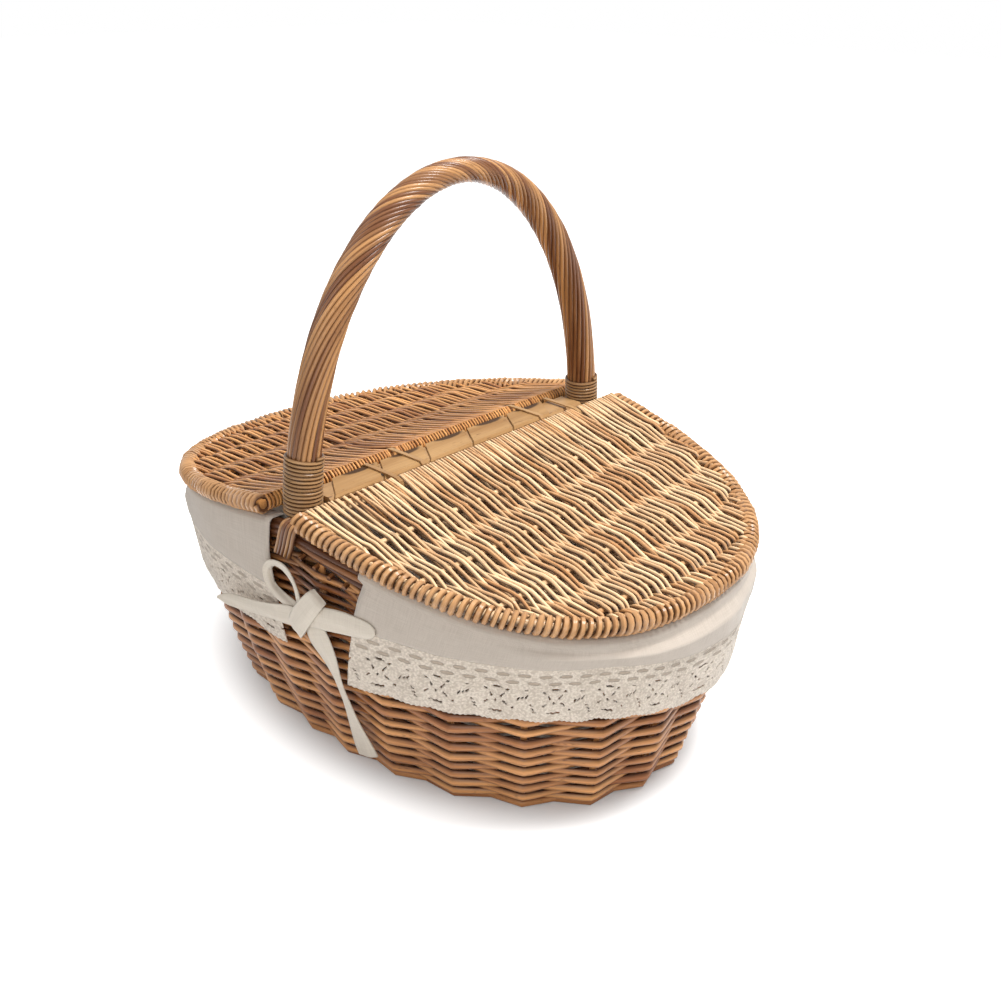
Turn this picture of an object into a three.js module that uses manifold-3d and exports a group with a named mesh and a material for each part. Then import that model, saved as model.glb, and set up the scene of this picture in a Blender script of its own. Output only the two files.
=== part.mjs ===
// Oval willow picnic basket with two hinged lids, a twisted rod handle and a tied cotton lining.
// Millimetres, +Z up. The origin is the middle of the underside, X runs along the basket's length,
// and the handle stands across it in the plane X = 0.
import * as THREE from "three";
import Module from "manifold-3d";

const wasm = await Module();
wasm.setup();

const TURN = 2 * Math.PI;
const UP = new THREE.Vector3(0, 0, 1);

// Clearances
const seatGap = 0.3; // between pieces that rest on each other
const turnGap = 0.45; // round a rod that turns
const wrapGap = 0.7; // under a strand wound round a rod
const stakeEndGap = 0.8; // at a stake's slanting ends

// Wall, measured on the middle surface that the stakes follow
const baseHalfLength = 170.4;
const baseHalfWidth = 112;
const baseSquareness = 2.2;
const mouthHalfLength = 190.2;
const mouthHalfWidth = 137.7;
const mouthSquareness = 2.5;
const rimHeight = 165; // top of the border beside the handle
const rimDip = 36.5; // how much lower it is at the two ends
const rimDipPower = 1.1;

// Stakes and weavers
const stakeCount = 24;
const stakeRadius = 2.2;
const stakePhase = 0.02; // share of a stake space, so that one stake clears each handle leg
const weaverTurns = 10;
const weaverThickness = 2.8;
const weaverRowGap = 0.5;
const weaverOutside = 4.8; // from the stake's middle to the middle of a rod passing outside
const weaverInside = 4.7;

// Foot, base and border
const footHeight = 7;
const footHalfThickness = 5.2;
const baseThickness = 4.2;
const baseStickWidth = 8;
const baseStickThickness = 2.2;
const baseLongSticks = 2;
const baseCrossSticks = 4;
const baseStickSpacing = 58;
const borderHeight = 13.5;
const borderHalfThickness = 5.3;
const borderRods = 3;

// Handle
const handleLegGap = 1; // between a leg's tail and the inside of the border
const handleSpringDrop = 2.7; // of the arch's springing points below the border's top
const handleRise = 182.6; // of the arch's top over the border
const handleRadius = 9.9;
const handleLobes = 8;
const handleLobeDepth = 1.2;
const handleTurns = 3;
const handleCoreRadius = 4.2;
const handleFootGap = 2.4; // under the twisted rods' ends, over the border
const handleTailFoot = 60; // how far down the core reaches inside the wall
const handleTailRadius = 3.4;

// Whippings
const whippingThickness = 1.2;
const whippingPitch = 2.7;
const whippingCane = 1.9; // width of the cane along the leg
const nearWhippingTurns = 12;
const farWhippingTurns = 8;
const whippingSteps = 10;

// Lids, measured over the wrapped rim
const lidHalfLength = 200;
const lidHalfWidth = 150;
const lidSquareness = 2.48;
const lidRodRadius = 3.9;
const lidEndRise = 9.1; // of a lid's rim rod over the border, at the basket's ends
const hingeAxisX = 18.3;
const hingeRise = 7; // of the hinge axes over the border beside the handle
const hingeRodRadius = 3.5;
const ribRadius = 2.2;
const ribPlaces = [40, 80, 120, 155]; // from the hinge, along the lid
const lidPasses = 20;
const lidPassInset = 16; // of the outermost pass from the lid's side
const lidStrandWidth = 7;
const lidStrandThickness = 1.4;

// Centre bar
const barHalfWidth = 10;
const barHalfThickness = 3;
const barChamfer = 1.6;
const bindingThickness = 1;
const bindingWidth = 36;
const bindingPitch = 38.9;
const loopWidth = 3;
const loopThickness = 0.9;

// Lining
const clothThickness = 1.2;
const liningLegRoom = 11; // how far the lining steps in round a handle leg
const liningLegWidth = 18;
const cuffHem = 119.3; // height of the cuff's hem, where the lace begins
const laceDepth = 35.5;
const hemDroop = 14; // how much lower both hems hang at the basket's ends
const hemDroopReach = 0.31; // sine of the angle over which they sink
const laceScallop = 1.6;
const laceScallopLength = 21;
const cuffFoldDepth = 0.9;
const cuffFoldLength = 62;
const slitLow = -9.5; // the near slit runs between these two places beside the handle
const slitHigh = 50;
const slitSlant = 10; // how much nearer the handle the lace's corner hangs

// Ribbon bows
const knotDrop = 3.3; // of the knot's middle below the cuff's hem
const ribbonWidth = 13;
const ribbonThickness = 1.2;

// Sizes that follow from the border and the lid
const handleHalfSpan = mouthHalfWidth - borderHalfThickness - handleTailRadius - handleLegGap;
const handleSpring = rimHeight - handleSpringDrop;
const handleTop = rimHeight + handleRise;
const handleFoot = rimHeight + handleFootGap;
const lidEndHeight = rimHeight - rimDip + lidEndRise;
const hingeAxisZ = rimHeight + hingeRise;
const lidPassReach = lidHalfWidth - lidPassInset;

const finish = (color, roughness) => () =>
  new THREE.MeshStandardMaterial({ color, roughness, metalness: 0 });
const brownWillow = finish(0xb97d50, 0.55);
const strawWillow = finish(0xe1b478, 0.5);
const honeyWillow = finish(0xcf9659, 0.5);
const handleWillow = finish(0xaf784b, 0.5);
const peeledCane = finish(0xdcb988, 0.45);
const cotton = finish(0xd9d0c4, 0.9);
const lace = finish(0xdad3c6, 0.92);

const basket = new THREE.Group();
const rightLid = new THREE.Group();
const leftLid = new THREE.Group();
basket.add(rightLid, leftLid);

function place(group, name, geometry, material) {
  const mesh = new THREE.Mesh(geometry, material());
  mesh.name = name;
  group.add(mesh);
  return mesh;
}

// A closed surface built face by face. Faces that have shrunk to a line are left out, and the
// whole surface is turned to face outwards.
class Skin {
  constructor() {
    this.points = [];
    this.faces = [];
    this.known = new Map();
  }

  vertex(point) {
    const key = point.toArray().map((value) => Math.round(value * 2000)).join();
    if (!this.known.has(key)) {
      this.known.set(key, this.points.length);
      this.points.push(point.clone());
    }
    return this.known.get(key);
  }

  triangle(a, b, c) {
    const face = [this.vertex(a), this.vertex(b), this.vertex(c)];
    if (new Set(face).size === 3) this.faces.push(face);
  }

  quad(a, b, c, d) {
    this.triangle(a, b, c);
    this.triangle(a, c, d);
  }

  volume() {
    const cross = new THREE.Vector3();
    return this.faces.reduce((sum, [a, b, c]) => {
      cross.crossVectors(this.points[b], this.points[c]);
      return sum + this.points[a].dot(cross);
    }, 0);
  }

  geometry() {
    const inverted = this.volume() < 0;
    const index = this.faces.flatMap(([a, b, c]) => (inverted ? [a, c, b] : [a, b, c]));
    const geometry = new THREE.BufferGeometry().setFromPoints(this.points);
    geometry.setIndex(index);
    geometry.computeVertexNormals();
    return geometry;
  }
}

// Skins a row of rings, each with the same number of points. Open rows get flat ends.
function loft(rings, closed = false) {
  const skin = new Skin();
  const spans = closed ? rings.length : rings.length - 1;
  for (let i = 0; i < spans; i++) {
    const here = rings[i];
    const next = rings[(i + 1) % rings.length];
    here.forEach((point, j) => {
      const k = (j + 1) % here.length;
      skin.quad(point, here[k], next[k], next[j]);
    });
  }
  if (!closed) {
    const cap = (ring, flip) => {
      for (let j = 1; j < ring.length - 1; j++) {
        if (flip) skin.triangle(ring[0], ring[j + 1], ring[j]);
        else skin.triangle(ring[0], ring[j], ring[j + 1]);
      }
    };
    cap(rings[0], true);
    cap(rings[rings.length - 1], false);
  }
  return skin.geometry();
}

// Cloth between two matching grids of points, its outer and its inner face.
function cloth(outer, inner, closed = false) {
  const skin = new Skin();
  const rows = outer.length;
  const last = outer[0].length - 1;
  for (let i = 0; i < (closed ? rows : rows - 1); i++) {
    const n = (i + 1) % rows;
    for (let j = 0; j < last; j++) {
      skin.quad(outer[i][j], outer[i][j + 1], outer[n][j + 1], outer[n][j]);
      skin.quad(inner[i][j], inner[n][j], inner[n][j + 1], inner[i][j + 1]);
    }
    skin.quad(outer[i][0], outer[n][0], inner[n][0], inner[i][0]);
    skin.quad(outer[i][last], inner[i][last], inner[n][last], outer[n][last]);
  }
  if (!closed) {
    for (let j = 0; j < last; j++) {
      const n = rows - 1;
      skin.quad(outer[0][j], inner[0][j], inner[0][j + 1], outer[0][j + 1]);
      skin.quad(outer[n][j], outer[n][j + 1], inner[n][j + 1], inner[n][j]);
    }
  }
  return skin.geometry();
}

// A strip of rectangular section along a path. faces gives its outward direction at each point.
function strip(path, faces, width, thickness, closed = false) {
  const count = path.length;
  const rings = path.map((point, i) => {
    const before = closed ? path[(i + count - 1) % count] : path[Math.max(i - 1, 0)];
    const after = closed ? path[(i + 1) % count] : path[Math.min(i + 1, count - 1)];
    const along = after.clone().sub(before).normalize();
    const side = faces[i].clone().cross(along).normalize();
    const out = along.clone().cross(side).normalize();
    const corner = (s, o) =>
      point.clone().addScaledVector(side, (s * width) / 2).addScaledVector(out, (o * thickness) / 2);
    return [corner(-1, -1), corner(1, -1), corner(1, 1), corner(-1, 1)];
  });
  return loft(rings, closed);
}

// A round rod along a curve.
function rod(curve, radius, sides, steps) {
  const section = new THREE.Shape(
    Array.from({ length: sides }, (_, i) => {
      const angle = (TURN * i) / sides;
      return new THREE.Vector2(radius * Math.cos(angle), radius * Math.sin(angle));
    }),
  );
  return new THREE.ExtrudeGeometry(section, { steps, curveSegments: 1, extrudePath: curve });
}

function solidOf(geometry) {
  const skin = new Skin();
  const loose = geometry.index ? geometry.toNonIndexed() : geometry;
  const place = loose.getAttribute("position");
  const at = (i) => new THREE.Vector3().fromBufferAttribute(place, i);
  for (let i = 0; i < place.count; i += 3) skin.triangle(at(i), at(i + 1), at(i + 2));
  return new wasm.Manifold(
    new wasm.Mesh({
      numProp: 3,
      vertProperties: new Float32Array(skin.points.flatMap((point) => point.toArray())),
      triVerts: new Uint32Array(skin.faces.flat()),
    }),
  );
}

function joined(geometries) {
  const whole = geometries.map(solidOf).reduce((sum, solid) => sum.add(solid)).getMesh();
  const geometry = new THREE.BufferGeometry();
  geometry.setAttribute("position", new THREE.BufferAttribute(whole.vertProperties, 3));
  geometry.setIndex(new THREE.BufferAttribute(whole.triVerts, 1));
  geometry.computeVertexNormals();
  return geometry;
}

// The wall

const power = (value, exponent) => Math.sign(value) * Math.abs(value) ** exponent;

function ovalPoint(angle, halfLength, halfWidth, squareness) {
  return new THREE.Vector2(
    halfLength * power(Math.cos(angle), 2 / squareness),
    halfWidth * power(Math.sin(angle), 2 / squareness),
  );
}

function rimTop(angle) {
  const share = Math.abs(ovalPoint(angle, 1, 1, mouthSquareness).x);
  return rimHeight - rimDip * share ** rimDipPower;
}

// A point at a height on the wall, out or in from the stakes' middle surface.
function wallPoint(angle, height, offset = 0) {
  const share = height / rimTop(angle);
  const flare = 1 - (1 - Math.min(share, 1)) ** 2;
  const mix = (low, high, by) => low + (high - low) * by;
  const flat = ovalPoint(
    angle,
    mix(baseHalfLength, mouthHalfLength, flare) + offset,
    mix(baseHalfWidth, mouthHalfWidth, flare) + offset,
    mix(baseSquareness, mouthSquareness, Math.min(share, 1)),
  );
  return new THREE.Vector3(flat.x, flat.y, height);
}

// Angles of evenly spaced places round the wall, starting at the basket's +X end.
function evenAngles(count, phase = 0) {
  const samples = 1440;
  const measure = (i) => wallPoint((TURN * i) / samples, rimHeight / 2).setZ(0);
  const lengths = [0];
  for (let i = 1; i <= samples; i++) {
    lengths.push(lengths[i - 1] + measure(i).distanceTo(measure(i - 1)));
  }
  return Array.from({ length: count }, (_, k) => {
    const target = ((((k + phase) / count) % 1) + 1) % 1 * lengths[samples];
    const i = Math.max(1, lengths.findIndex((length) => length >= target));
    const within = (target - lengths[i - 1]) / (lengths[i] - lengths[i - 1]);
    return (TURN * (i - 1 + within)) / samples;
  });
}

const borderFoot = (angle) => rimTop(angle) - borderHeight;
const weaveFoot = footHeight + seatGap;
const stakeAngles = evenAngles(stakeCount, 0.5 + stakePhase);
// The hoops turn at every stake and half-way between
const hoopAngles = evenAngles(2 * stakeCount, 2 * stakePhase);
const betweenAngles = evenAngles(stakeCount, stakePhase);

stakeAngles.forEach((angle, i) => {
  const foot = footHeight + stakeEndGap;
  const top = borderFoot(angle) - stakeEndGap;
  const levels = [0, 0.25, 0.5, 0.75, 1].map((share) => wallPoint(angle, foot + (top - foot) * share));
  const path = new THREE.CatmullRomCurve3(levels);
  const number = String(i + 1).padStart(2, "0");
  place(basket, `stake_${number}`, rod(path, stakeRadius, 6, 4), brownWillow);
});

// One of the two weavers of chase randing: it climbs in a spiral, before one stake and behind
// the next, while the other does the opposite half a row higher.
function weaver(firstOutside) {
  const rings = [];
  const total = weaverTurns * stakeCount;
  const start = Math.round(stakeCount / 4);
  for (let k = 0; k <= total; k++) {
    const stake = (start + k) % stakeCount;
    const angle = stakeAngles[stake];
    const outside = k % 2 === (firstOutside ? 0 : 1);
    const climb = (borderFoot(angle) - seatGap - weaveFoot) / (weaverTurns + 1);
    const row = k / stakeCount + (firstOutside ? 0.25 : 0.75);
    const height = climb / 2 - weaverRowGap;
    const middle = weaveFoot + climb * row;
    const offset = outside ? weaverOutside : -weaverInside;
    const corner = (out, up) =>
      wallPoint(angle, middle + (up * height) / 2, offset + (out * weaverThickness) / 2);
    rings.push([corner(-1, -1), corner(1, -1), corner(1, 1), corner(-1, 1)]);
  }
  return loft(rings);
}
place(basket, "weaver_first", weaver(true), brownWillow);
place(basket, "weaver_second", weaver(false), brownWillow);

// A closed hoop round the wall. section gives the points of its outline at an angle.
function hoop(section) {
  return loft(hoopAngles.map((angle) => section(angle)), true);
}

// The border's rods lie over each other and bulge outwards.
function borderSection(angle) {
  const rodHeight = borderHeight / borderRods;
  const notch = borderHalfThickness * 0.82;
  const side = [];
  for (let i = 0; i < borderRods; i++) {
    side.push([i === 0 ? notch * 0.8 : notch, i * rodHeight]);
    side.push([borderHalfThickness, (i + 0.5) * rodHeight]);
  }
  side.push([notch * 0.8, borderHeight]);
  const back = [[-notch, borderHeight], [-borderHalfThickness, borderHeight / 2], [-notch, 0]];
  const outline = [...side, ...back];
  return outline.map(([out, down]) => wallPoint(angle, rimTop(angle) - down, out));
}
place(basket, "rim_border", hoop(borderSection), honeyWillow);

function footSection(angle) {
  const bevel = 1.6;
  const half = footHalfThickness;
  const outline = [
    [-half, 0], [half - bevel, 0], [half, bevel],
    [half, footHeight - bevel], [half - bevel, footHeight], [-half, footHeight],
  ];
  return outline.map(([out, up]) => wallPoint(angle, 0, out).setZ(up));
}
place(basket, "foot_hoop", hoop(footSection), brownWillow);

// The base: crossed sticks under a woven oval
const baseRoom = -(footHalfThickness + seatGap);
const baseMatFoot = footHeight - baseThickness;
const baseOutline = hoopAngles.map((angle) => {
  const point = wallPoint(angle, 0, baseRoom);
  return new THREE.Vector2(point.x, point.y);
});
place(
  basket,
  "base_weave",
  new THREE.ExtrudeGeometry(new THREE.Shape(baseOutline), {
    depth: baseThickness,
    bevelEnabled: false,
  }).translate(0, 0, baseMatFoot),
  honeyWillow,
);

function baseStick(length, across, alongX) {
  const size = alongX ? [length, baseStickWidth] : [baseStickWidth, length];
  const box = new THREE.BoxGeometry(...size, baseStickThickness);
  const height = baseMatFoot - seatGap - baseStickThickness / 2;
  return box.translate(alongX ? 0 : across, alongX ? across : 0, height);
}
const middleOf = (count, i) => i - (count - 1) / 2;
function stickReach(across, alongX) {
  const long = baseHalfLength + baseRoom - 1;
  const wide = baseHalfWidth + baseRoom - 1;
  const edge = Math.abs(across) + baseStickWidth / 2;
  const [reach, limit] = alongX ? [long, wide] : [wide, long];
  return 2 * reach * (1 - (edge / limit) ** baseSquareness) ** (1 / baseSquareness);
}
const baseSticks = [];
for (let i = 0; i < baseLongSticks; i++) {
  const across = middleOf(baseLongSticks, i) * baseStickSpacing;
  baseSticks.push(baseStick(stickReach(across, true), across, true));
}
for (let i = 0; i < baseCrossSticks; i++) {
  const across = middleOf(baseCrossSticks, i) * baseStickSpacing;
  baseSticks.push(baseStick(stickReach(across, false), across, false));
}
place(basket, "base_sticks", joined(baseSticks), brownWillow);

// The handle

// The arch's centre line and the directions across it, at a share of the half turn.
function archFrame(share) {
  const angle = Math.PI * share;
  const rise = handleTop - handleSpring;
  const centre = new THREE.Vector3(
    0, -handleHalfSpan * Math.cos(angle), handleSpring + rise * Math.sin(angle));
  const along = new THREE.Vector3(
    0, handleHalfSpan * Math.sin(angle), rise * Math.cos(angle)).normalize();
  const across = new THREE.Vector3(1, 0, 0);
  const out = across.clone().cross(along);
  return { centre, along, across, out };
}
const archShareAt = (height) =>
  Math.asin((height - handleSpring) / (handleTop - handleSpring)) / Math.PI;

function archRing(share, sides, radiusAt, twist) {
  const { centre, across, out } = archFrame(share);
  return Array.from({ length: sides }, (_, j) => {
    const angle = (TURN * j) / sides + twist;
    return centre.clone()
      .addScaledVector(across, radiusAt(j) * Math.cos(angle))
      .addScaledVector(out, radiusAt(j) * Math.sin(angle));
  });
}

// Rods twisted round a core. They run straight out of the whippings and turn faster in the middle.
function handleTwist() {
  const steps = 28;
  const sides = 2 * handleLobes;
  const bore = handleCoreRadius + seatGap * 2;
  const from = archShareAt(handleFoot);
  const outer = [];
  const inner = [];
  for (let i = 0; i <= steps; i++) {
    const along = i / steps;
    const share = from + (1 - 2 * from) * along;
    const eased = along - Math.sin(TURN * along) / TURN;
    const radiusAt = (j) => handleRadius - (j % 2 ? handleLobeDepth : 0);
    outer.push(archRing(share, sides, radiusAt, -TURN * handleTurns * eased));
    // The bore has half as many points, each of them twice
    const round = archRing(share, handleLobes, () => bore, 0);
    inner.push(outer[i].map((_, j) => round[Math.floor(j / 2)]));
  }
  return ringedTube(outer, inner);
}

function ringedTube(outer, inner) {
  const skin = new Skin();
  const count = outer[0].length;
  const last = outer.length - 1;
  for (let j = 0; j < count; j++) {
    const k = (j + 1) % count;
    for (let i = 0; i < last; i++) {
      skin.quad(outer[i][j], outer[i][k], outer[i + 1][k], outer[i + 1][j]);
      skin.quad(inner[i][j], inner[i + 1][j], inner[i + 1][k], inner[i][k]);
    }
    skin.quad(outer[0][j], inner[0][j], inner[0][k], outer[0][k]);
    skin.quad(outer[last][j], outer[last][k], inner[last][k], inner[last][j]);
  }
  return skin.geometry();
}
place(basket, "handle_twist", handleTwist(), handleWillow);

// The core runs through the twist and down inside the wall at both legs.
function handleCore() {
  const wallClear = weaverInside + weaverThickness / 2 + seatGap * 2;
  const tailPoint = (height) => {
    const wall = wallPoint(-TURN / 4, height, -wallClear - handleCoreRadius);
    return Math.min(handleHalfSpan, -wall.y);
  };
  const ring = (centre, across, out, radius) =>
    Array.from({ length: 6 }, (_, j) => {
      const angle = (TURN * j) / 6;
      return centre.clone()
        .addScaledVector(across, radius * Math.cos(angle))
        .addScaledVector(out, radius * Math.sin(angle));
    });
  const tails = [handleTailFoot, 95, 130, rimHeight - borderHeight].map((height) => ({
    y: tailPoint(height),
    height,
    radius: height === handleTailFoot ? handleTailRadius : handleCoreRadius,
  }));
  const tailRing = (side, { y, height, radius }) =>
    ring(new THREE.Vector3(0, side * y, height), new THREE.Vector3(1, 0, 0),
      new THREE.Vector3(0, side, 0), radius);
  const arch = [];
  const steps = 28;
  const from = archShareAt(handleFoot - seatGap);
  for (let i = 0; i <= steps; i++) {
    const share = from + ((1 - 2 * from) * i) / steps;
    const { centre, across, out } = archFrame(share);
    arch.push(ring(centre, across, out, handleCoreRadius));
  }
  const nearTail = tails.map((tail) => tailRing(-1, tail));
  const farTail = tails.map((tail) => {
    const points = tailRing(1, tail);
    return points;
  }).reverse();
  return loft([...nearTail, ...arch, ...farTail]);
}
place(basket, "handle_core", handleCore(), handleWillow);

// A whipping is one length of cane wound round a leg. It prints its least gap to itself.
function whipping(name, turns, far) {
  const inside = (handleRadius + seatGap) / Math.cos(Math.PI / whippingSteps);
  const rings = [];
  const spine = [];
  for (let k = 0; k <= turns * whippingSteps; k++) {
    const height = handleFoot + whippingCane / 2 + (whippingPitch * k) / whippingSteps;
    const share = far ? 1 - archShareAt(height) : archShareAt(height);
    const { centre, along, across, out } = archFrame(share);
    const angle = (TURN * k) / whippingSteps;
    const away = across.clone().multiplyScalar(Math.cos(angle))
      .addScaledVector(out, Math.sin(angle) * (far ? -1 : 1));
    const rise = along.clone().multiplyScalar(far ? -1 : 1);
    const corner = (radius, up) =>
      centre.clone().addScaledVector(away, radius).addScaledVector(rise, (up * whippingCane) / 2);
    rings.push([
      corner(inside, -1), corner(inside + whippingThickness, -1),
      corner(inside + whippingThickness, 1), corner(inside, 1),
    ]);
    spine.push(centre.clone().addScaledVector(away, inside));
  }
  let least = Infinity;
  for (let k = 0; k + whippingSteps < spine.length; k++) {
    least = Math.min(least, spine[k].distanceTo(spine[k + whippingSteps]) - whippingCane);
  }
  console.log(`${name}: ${turns} loops, least gap ${least.toFixed(2)} mm`);
  return loft(rings);
}
const nearWhipping = whipping("near_whipping", nearWhippingTurns, false);
const farWhipping = whipping("far_whipping", farWhippingTurns, true);
place(basket, "near_whipping", nearWhipping, peeledCane);
place(basket, "far_whipping", farWhipping, peeledCane);

// Rods lashed from each leg over the border, slanting down its outer face.
function lashing() {
  const width = 12;
  const thickness = 1.6;
  const clear = borderHalfThickness + thickness / 2 + seatGap;
  const nearAngle = -TURN / 4;
  const top = rimHeight + thickness / 2 + seatGap;
  const route = [
    [9, top, -2.5], [8, top, 4], [6, top - 3, clear + 1.5], [3, rimHeight - 8, clear + 0.6],
    [0, rimHeight - borderHeight + 1, clear + 0.6], [-2, rimHeight - borderHeight - 5, clear + 0.6],
  ];
  const flat = wallPoint(nearAngle, rimHeight - borderHeight / 2);
  const path = route.map(([x, z, out]) => new THREE.Vector3(x, flat.y - out, z));
  const faces = route.map(([, z], i) =>
    (i < 2 ? UP.clone() : new THREE.Vector3(0, -1, z > rimHeight - 2 ? 0.9 : 0)).normalize());
  return strip(path, faces, width, thickness);
}
const halfTurn = (geometry) => geometry.clone().rotateZ(Math.PI);
const nearLashing = lashing();
place(basket, "near_lashing", nearLashing, handleWillow);
place(basket, "far_lashing", halfTurn(nearLashing), handleWillow);

// The centre bar between the handle's legs

function chamferedOutline(extra) {
  const x = barHalfWidth + extra;
  const z = barHalfThickness + extra;
  return [
    [x, -z + barChamfer], [x, z - barChamfer], [x - barChamfer, z], [-x + barChamfer, z],
    [-x, z - barChamfer], [-x, -z + barChamfer], [-x + barChamfer, -z], [x - barChamfer, -z],
  ];
}
const whippingRadius =
  (handleRadius + seatGap) / Math.cos(Math.PI / whippingSteps) + whippingThickness;
const legAtBar = Math.abs(archFrame(archShareAt(hingeAxisZ)).centre.y);
const barHalfSpan = legAtBar - whippingRadius - seatGap;
const barShape = new THREE.Shape(
  chamferedOutline(0).map(([x, z]) => new THREE.Vector2(x, z)));
const bar = new THREE.ExtrudeGeometry(barShape, { depth: 2 * barHalfSpan, bevelEnabled: false });
bar.rotateX(TURN / 4).translate(0, barHalfSpan, hingeAxisZ);
place(basket, "centre_bar", bar, strawWillow);

// A wide peel ribbon wound along the bar.
function barBinding() {
  const inner = chamferedOutline(seatGap);
  const outer = chamferedOutline(seatGap + bindingThickness);
  const reach = 2 * barHalfSpan - bindingWidth;
  const rings = [];
  const perimeter = inner.reduce((sum, [x, z], i) => {
    const [nextX, nextZ] = inner[(i + 1) % inner.length];
    return sum + Math.hypot(nextX - x, nextZ - z);
  }, 0);
  let wound = 0;
  for (let k = 0; (bindingPitch * wound) / perimeter <= reach; k++) {
    const i = k % inner.length;
    const y = -barHalfSpan + bindingWidth / 2 + (bindingPitch * wound) / perimeter;
    const corner = ([x, z], side) =>
      new THREE.Vector3(x, y + (side * bindingWidth) / 2, hingeAxisZ + z);
    rings.push([
      corner(inner[i], -1), corner(outer[i], -1), corner(outer[i], 1), corner(inner[i], 1),
    ]);
    const [x, z] = inner[i];
    const [nextX, nextZ] = inner[(i + 1) % inner.length];
    wound += Math.hypot(nextX - x, nextZ - z);
  }
  return loft(rings);
}
place(basket, "bar_binding", barBinding(), strawWillow);

// A cane loop that ties a lid's hinge rod to the bar and lets it turn.
function hingeLoop(side, y) {
  const half = loopThickness / 2;
  const wide = barHalfWidth + bindingThickness + 2 * seatGap + half;
  const high = barHalfThickness + bindingThickness + 2 * seatGap + half;
  const round = hingeRodRadius + turnGap + half;
  const rodEnd = (degrees) => {
    const angle = THREE.MathUtils.degToRad(degrees);
    return [hingeAxisX + (round / Math.cos(Math.PI / 8)) * Math.cos(angle),
      (round / Math.cos(Math.PI / 8)) * Math.sin(angle)];
  };
  const route = [
    rodEnd(0), rodEnd(45), rodEnd(90), [barHalfWidth, high], [-wide + barChamfer, high],
    [-wide, high - barChamfer], [-wide, barChamfer - high], [-wide + barChamfer, -high],
    [barHalfWidth, -high], rodEnd(-90), rodEnd(-45),
  ];
  const path = route.map(([x, z]) => new THREE.Vector3(side * x, y, hingeAxisZ + z));
  const middle = new THREE.Vector3(side * 5, y, hingeAxisZ);
  const faces = path.map((point) => point.clone().sub(middle).normalize());
  return strip(path, faces, loopWidth, loopThickness, true);
}

// The lids. Each is built flat, its hinge axis along Y at the origin, and then tilted into place.

const wrapThickness = lidStrandThickness + seatGap;
const rimHalfLength = lidHalfLength - lidRodRadius - wrapThickness;
const rimHalfWidth = lidHalfWidth - lidRodRadius - wrapThickness;
const lidSlope = Math.atan((hingeAxisZ - lidEndHeight) / (rimHalfLength - hingeAxisX));
const passSpacing = (2 * lidPassReach) / (lidPasses - 1);
const passPlace = (i) => -lidPassReach + passSpacing * i;

// The rim rod's middle at a place across the lid, and the way out of the lid there.
function lidRim(y) {
  const share = Math.min(Math.abs(y) / rimHalfWidth, 1);
  const x = rimHalfLength * (1 - share ** lidSquareness) ** (1 / lidSquareness);
  const along = (x - hingeAxisX) / Math.cos(lidSlope);
  const out = new THREE.Vector3(
    (Math.abs(x) / rimHalfLength) ** (lidSquareness - 1) / rimHalfLength,
    (Math.sign(y) * share ** (lidSquareness - 1)) / rimHalfWidth,
    0,
  ).normalize();
  return { point: new THREE.Vector3(along, y, 0), out };
}

class LidRim extends THREE.Curve {
  getPoint(share, target = new THREE.Vector3()) {
    const start = (hingeAxisX - hingeRodRadius) / rimHalfLength;
    const first = Math.asin(start ** (lidSquareness / 2));
    const angle = -TURN / 4 + first + (TURN / 2 - 2 * first) * share;
    const flat = ovalPoint(angle, rimHalfLength, rimHalfWidth, lidSquareness);
    return target.set((flat.x - hingeAxisX) / Math.cos(lidSlope), flat.y, 0);
  }
}

// The lid's frame: the bent rim rod, and the ribs let into it.
function lidFrame() {
  const ribs = ribPlaces.map((along) => {
    const x = hingeAxisX + along * Math.cos(lidSlope);
    const reach = rimHalfWidth * (1 - (x / rimHalfLength) ** lidSquareness) ** (1 / lidSquareness);
    const rib = new THREE.CylinderGeometry(ribRadius, ribRadius, 2 * reach, 6);
    return rib.translate(along, 0, 0);
  });
  return joined([rod(new LidRim(), lidRodRadius, 6, 22), ...ribs]);
}

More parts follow.
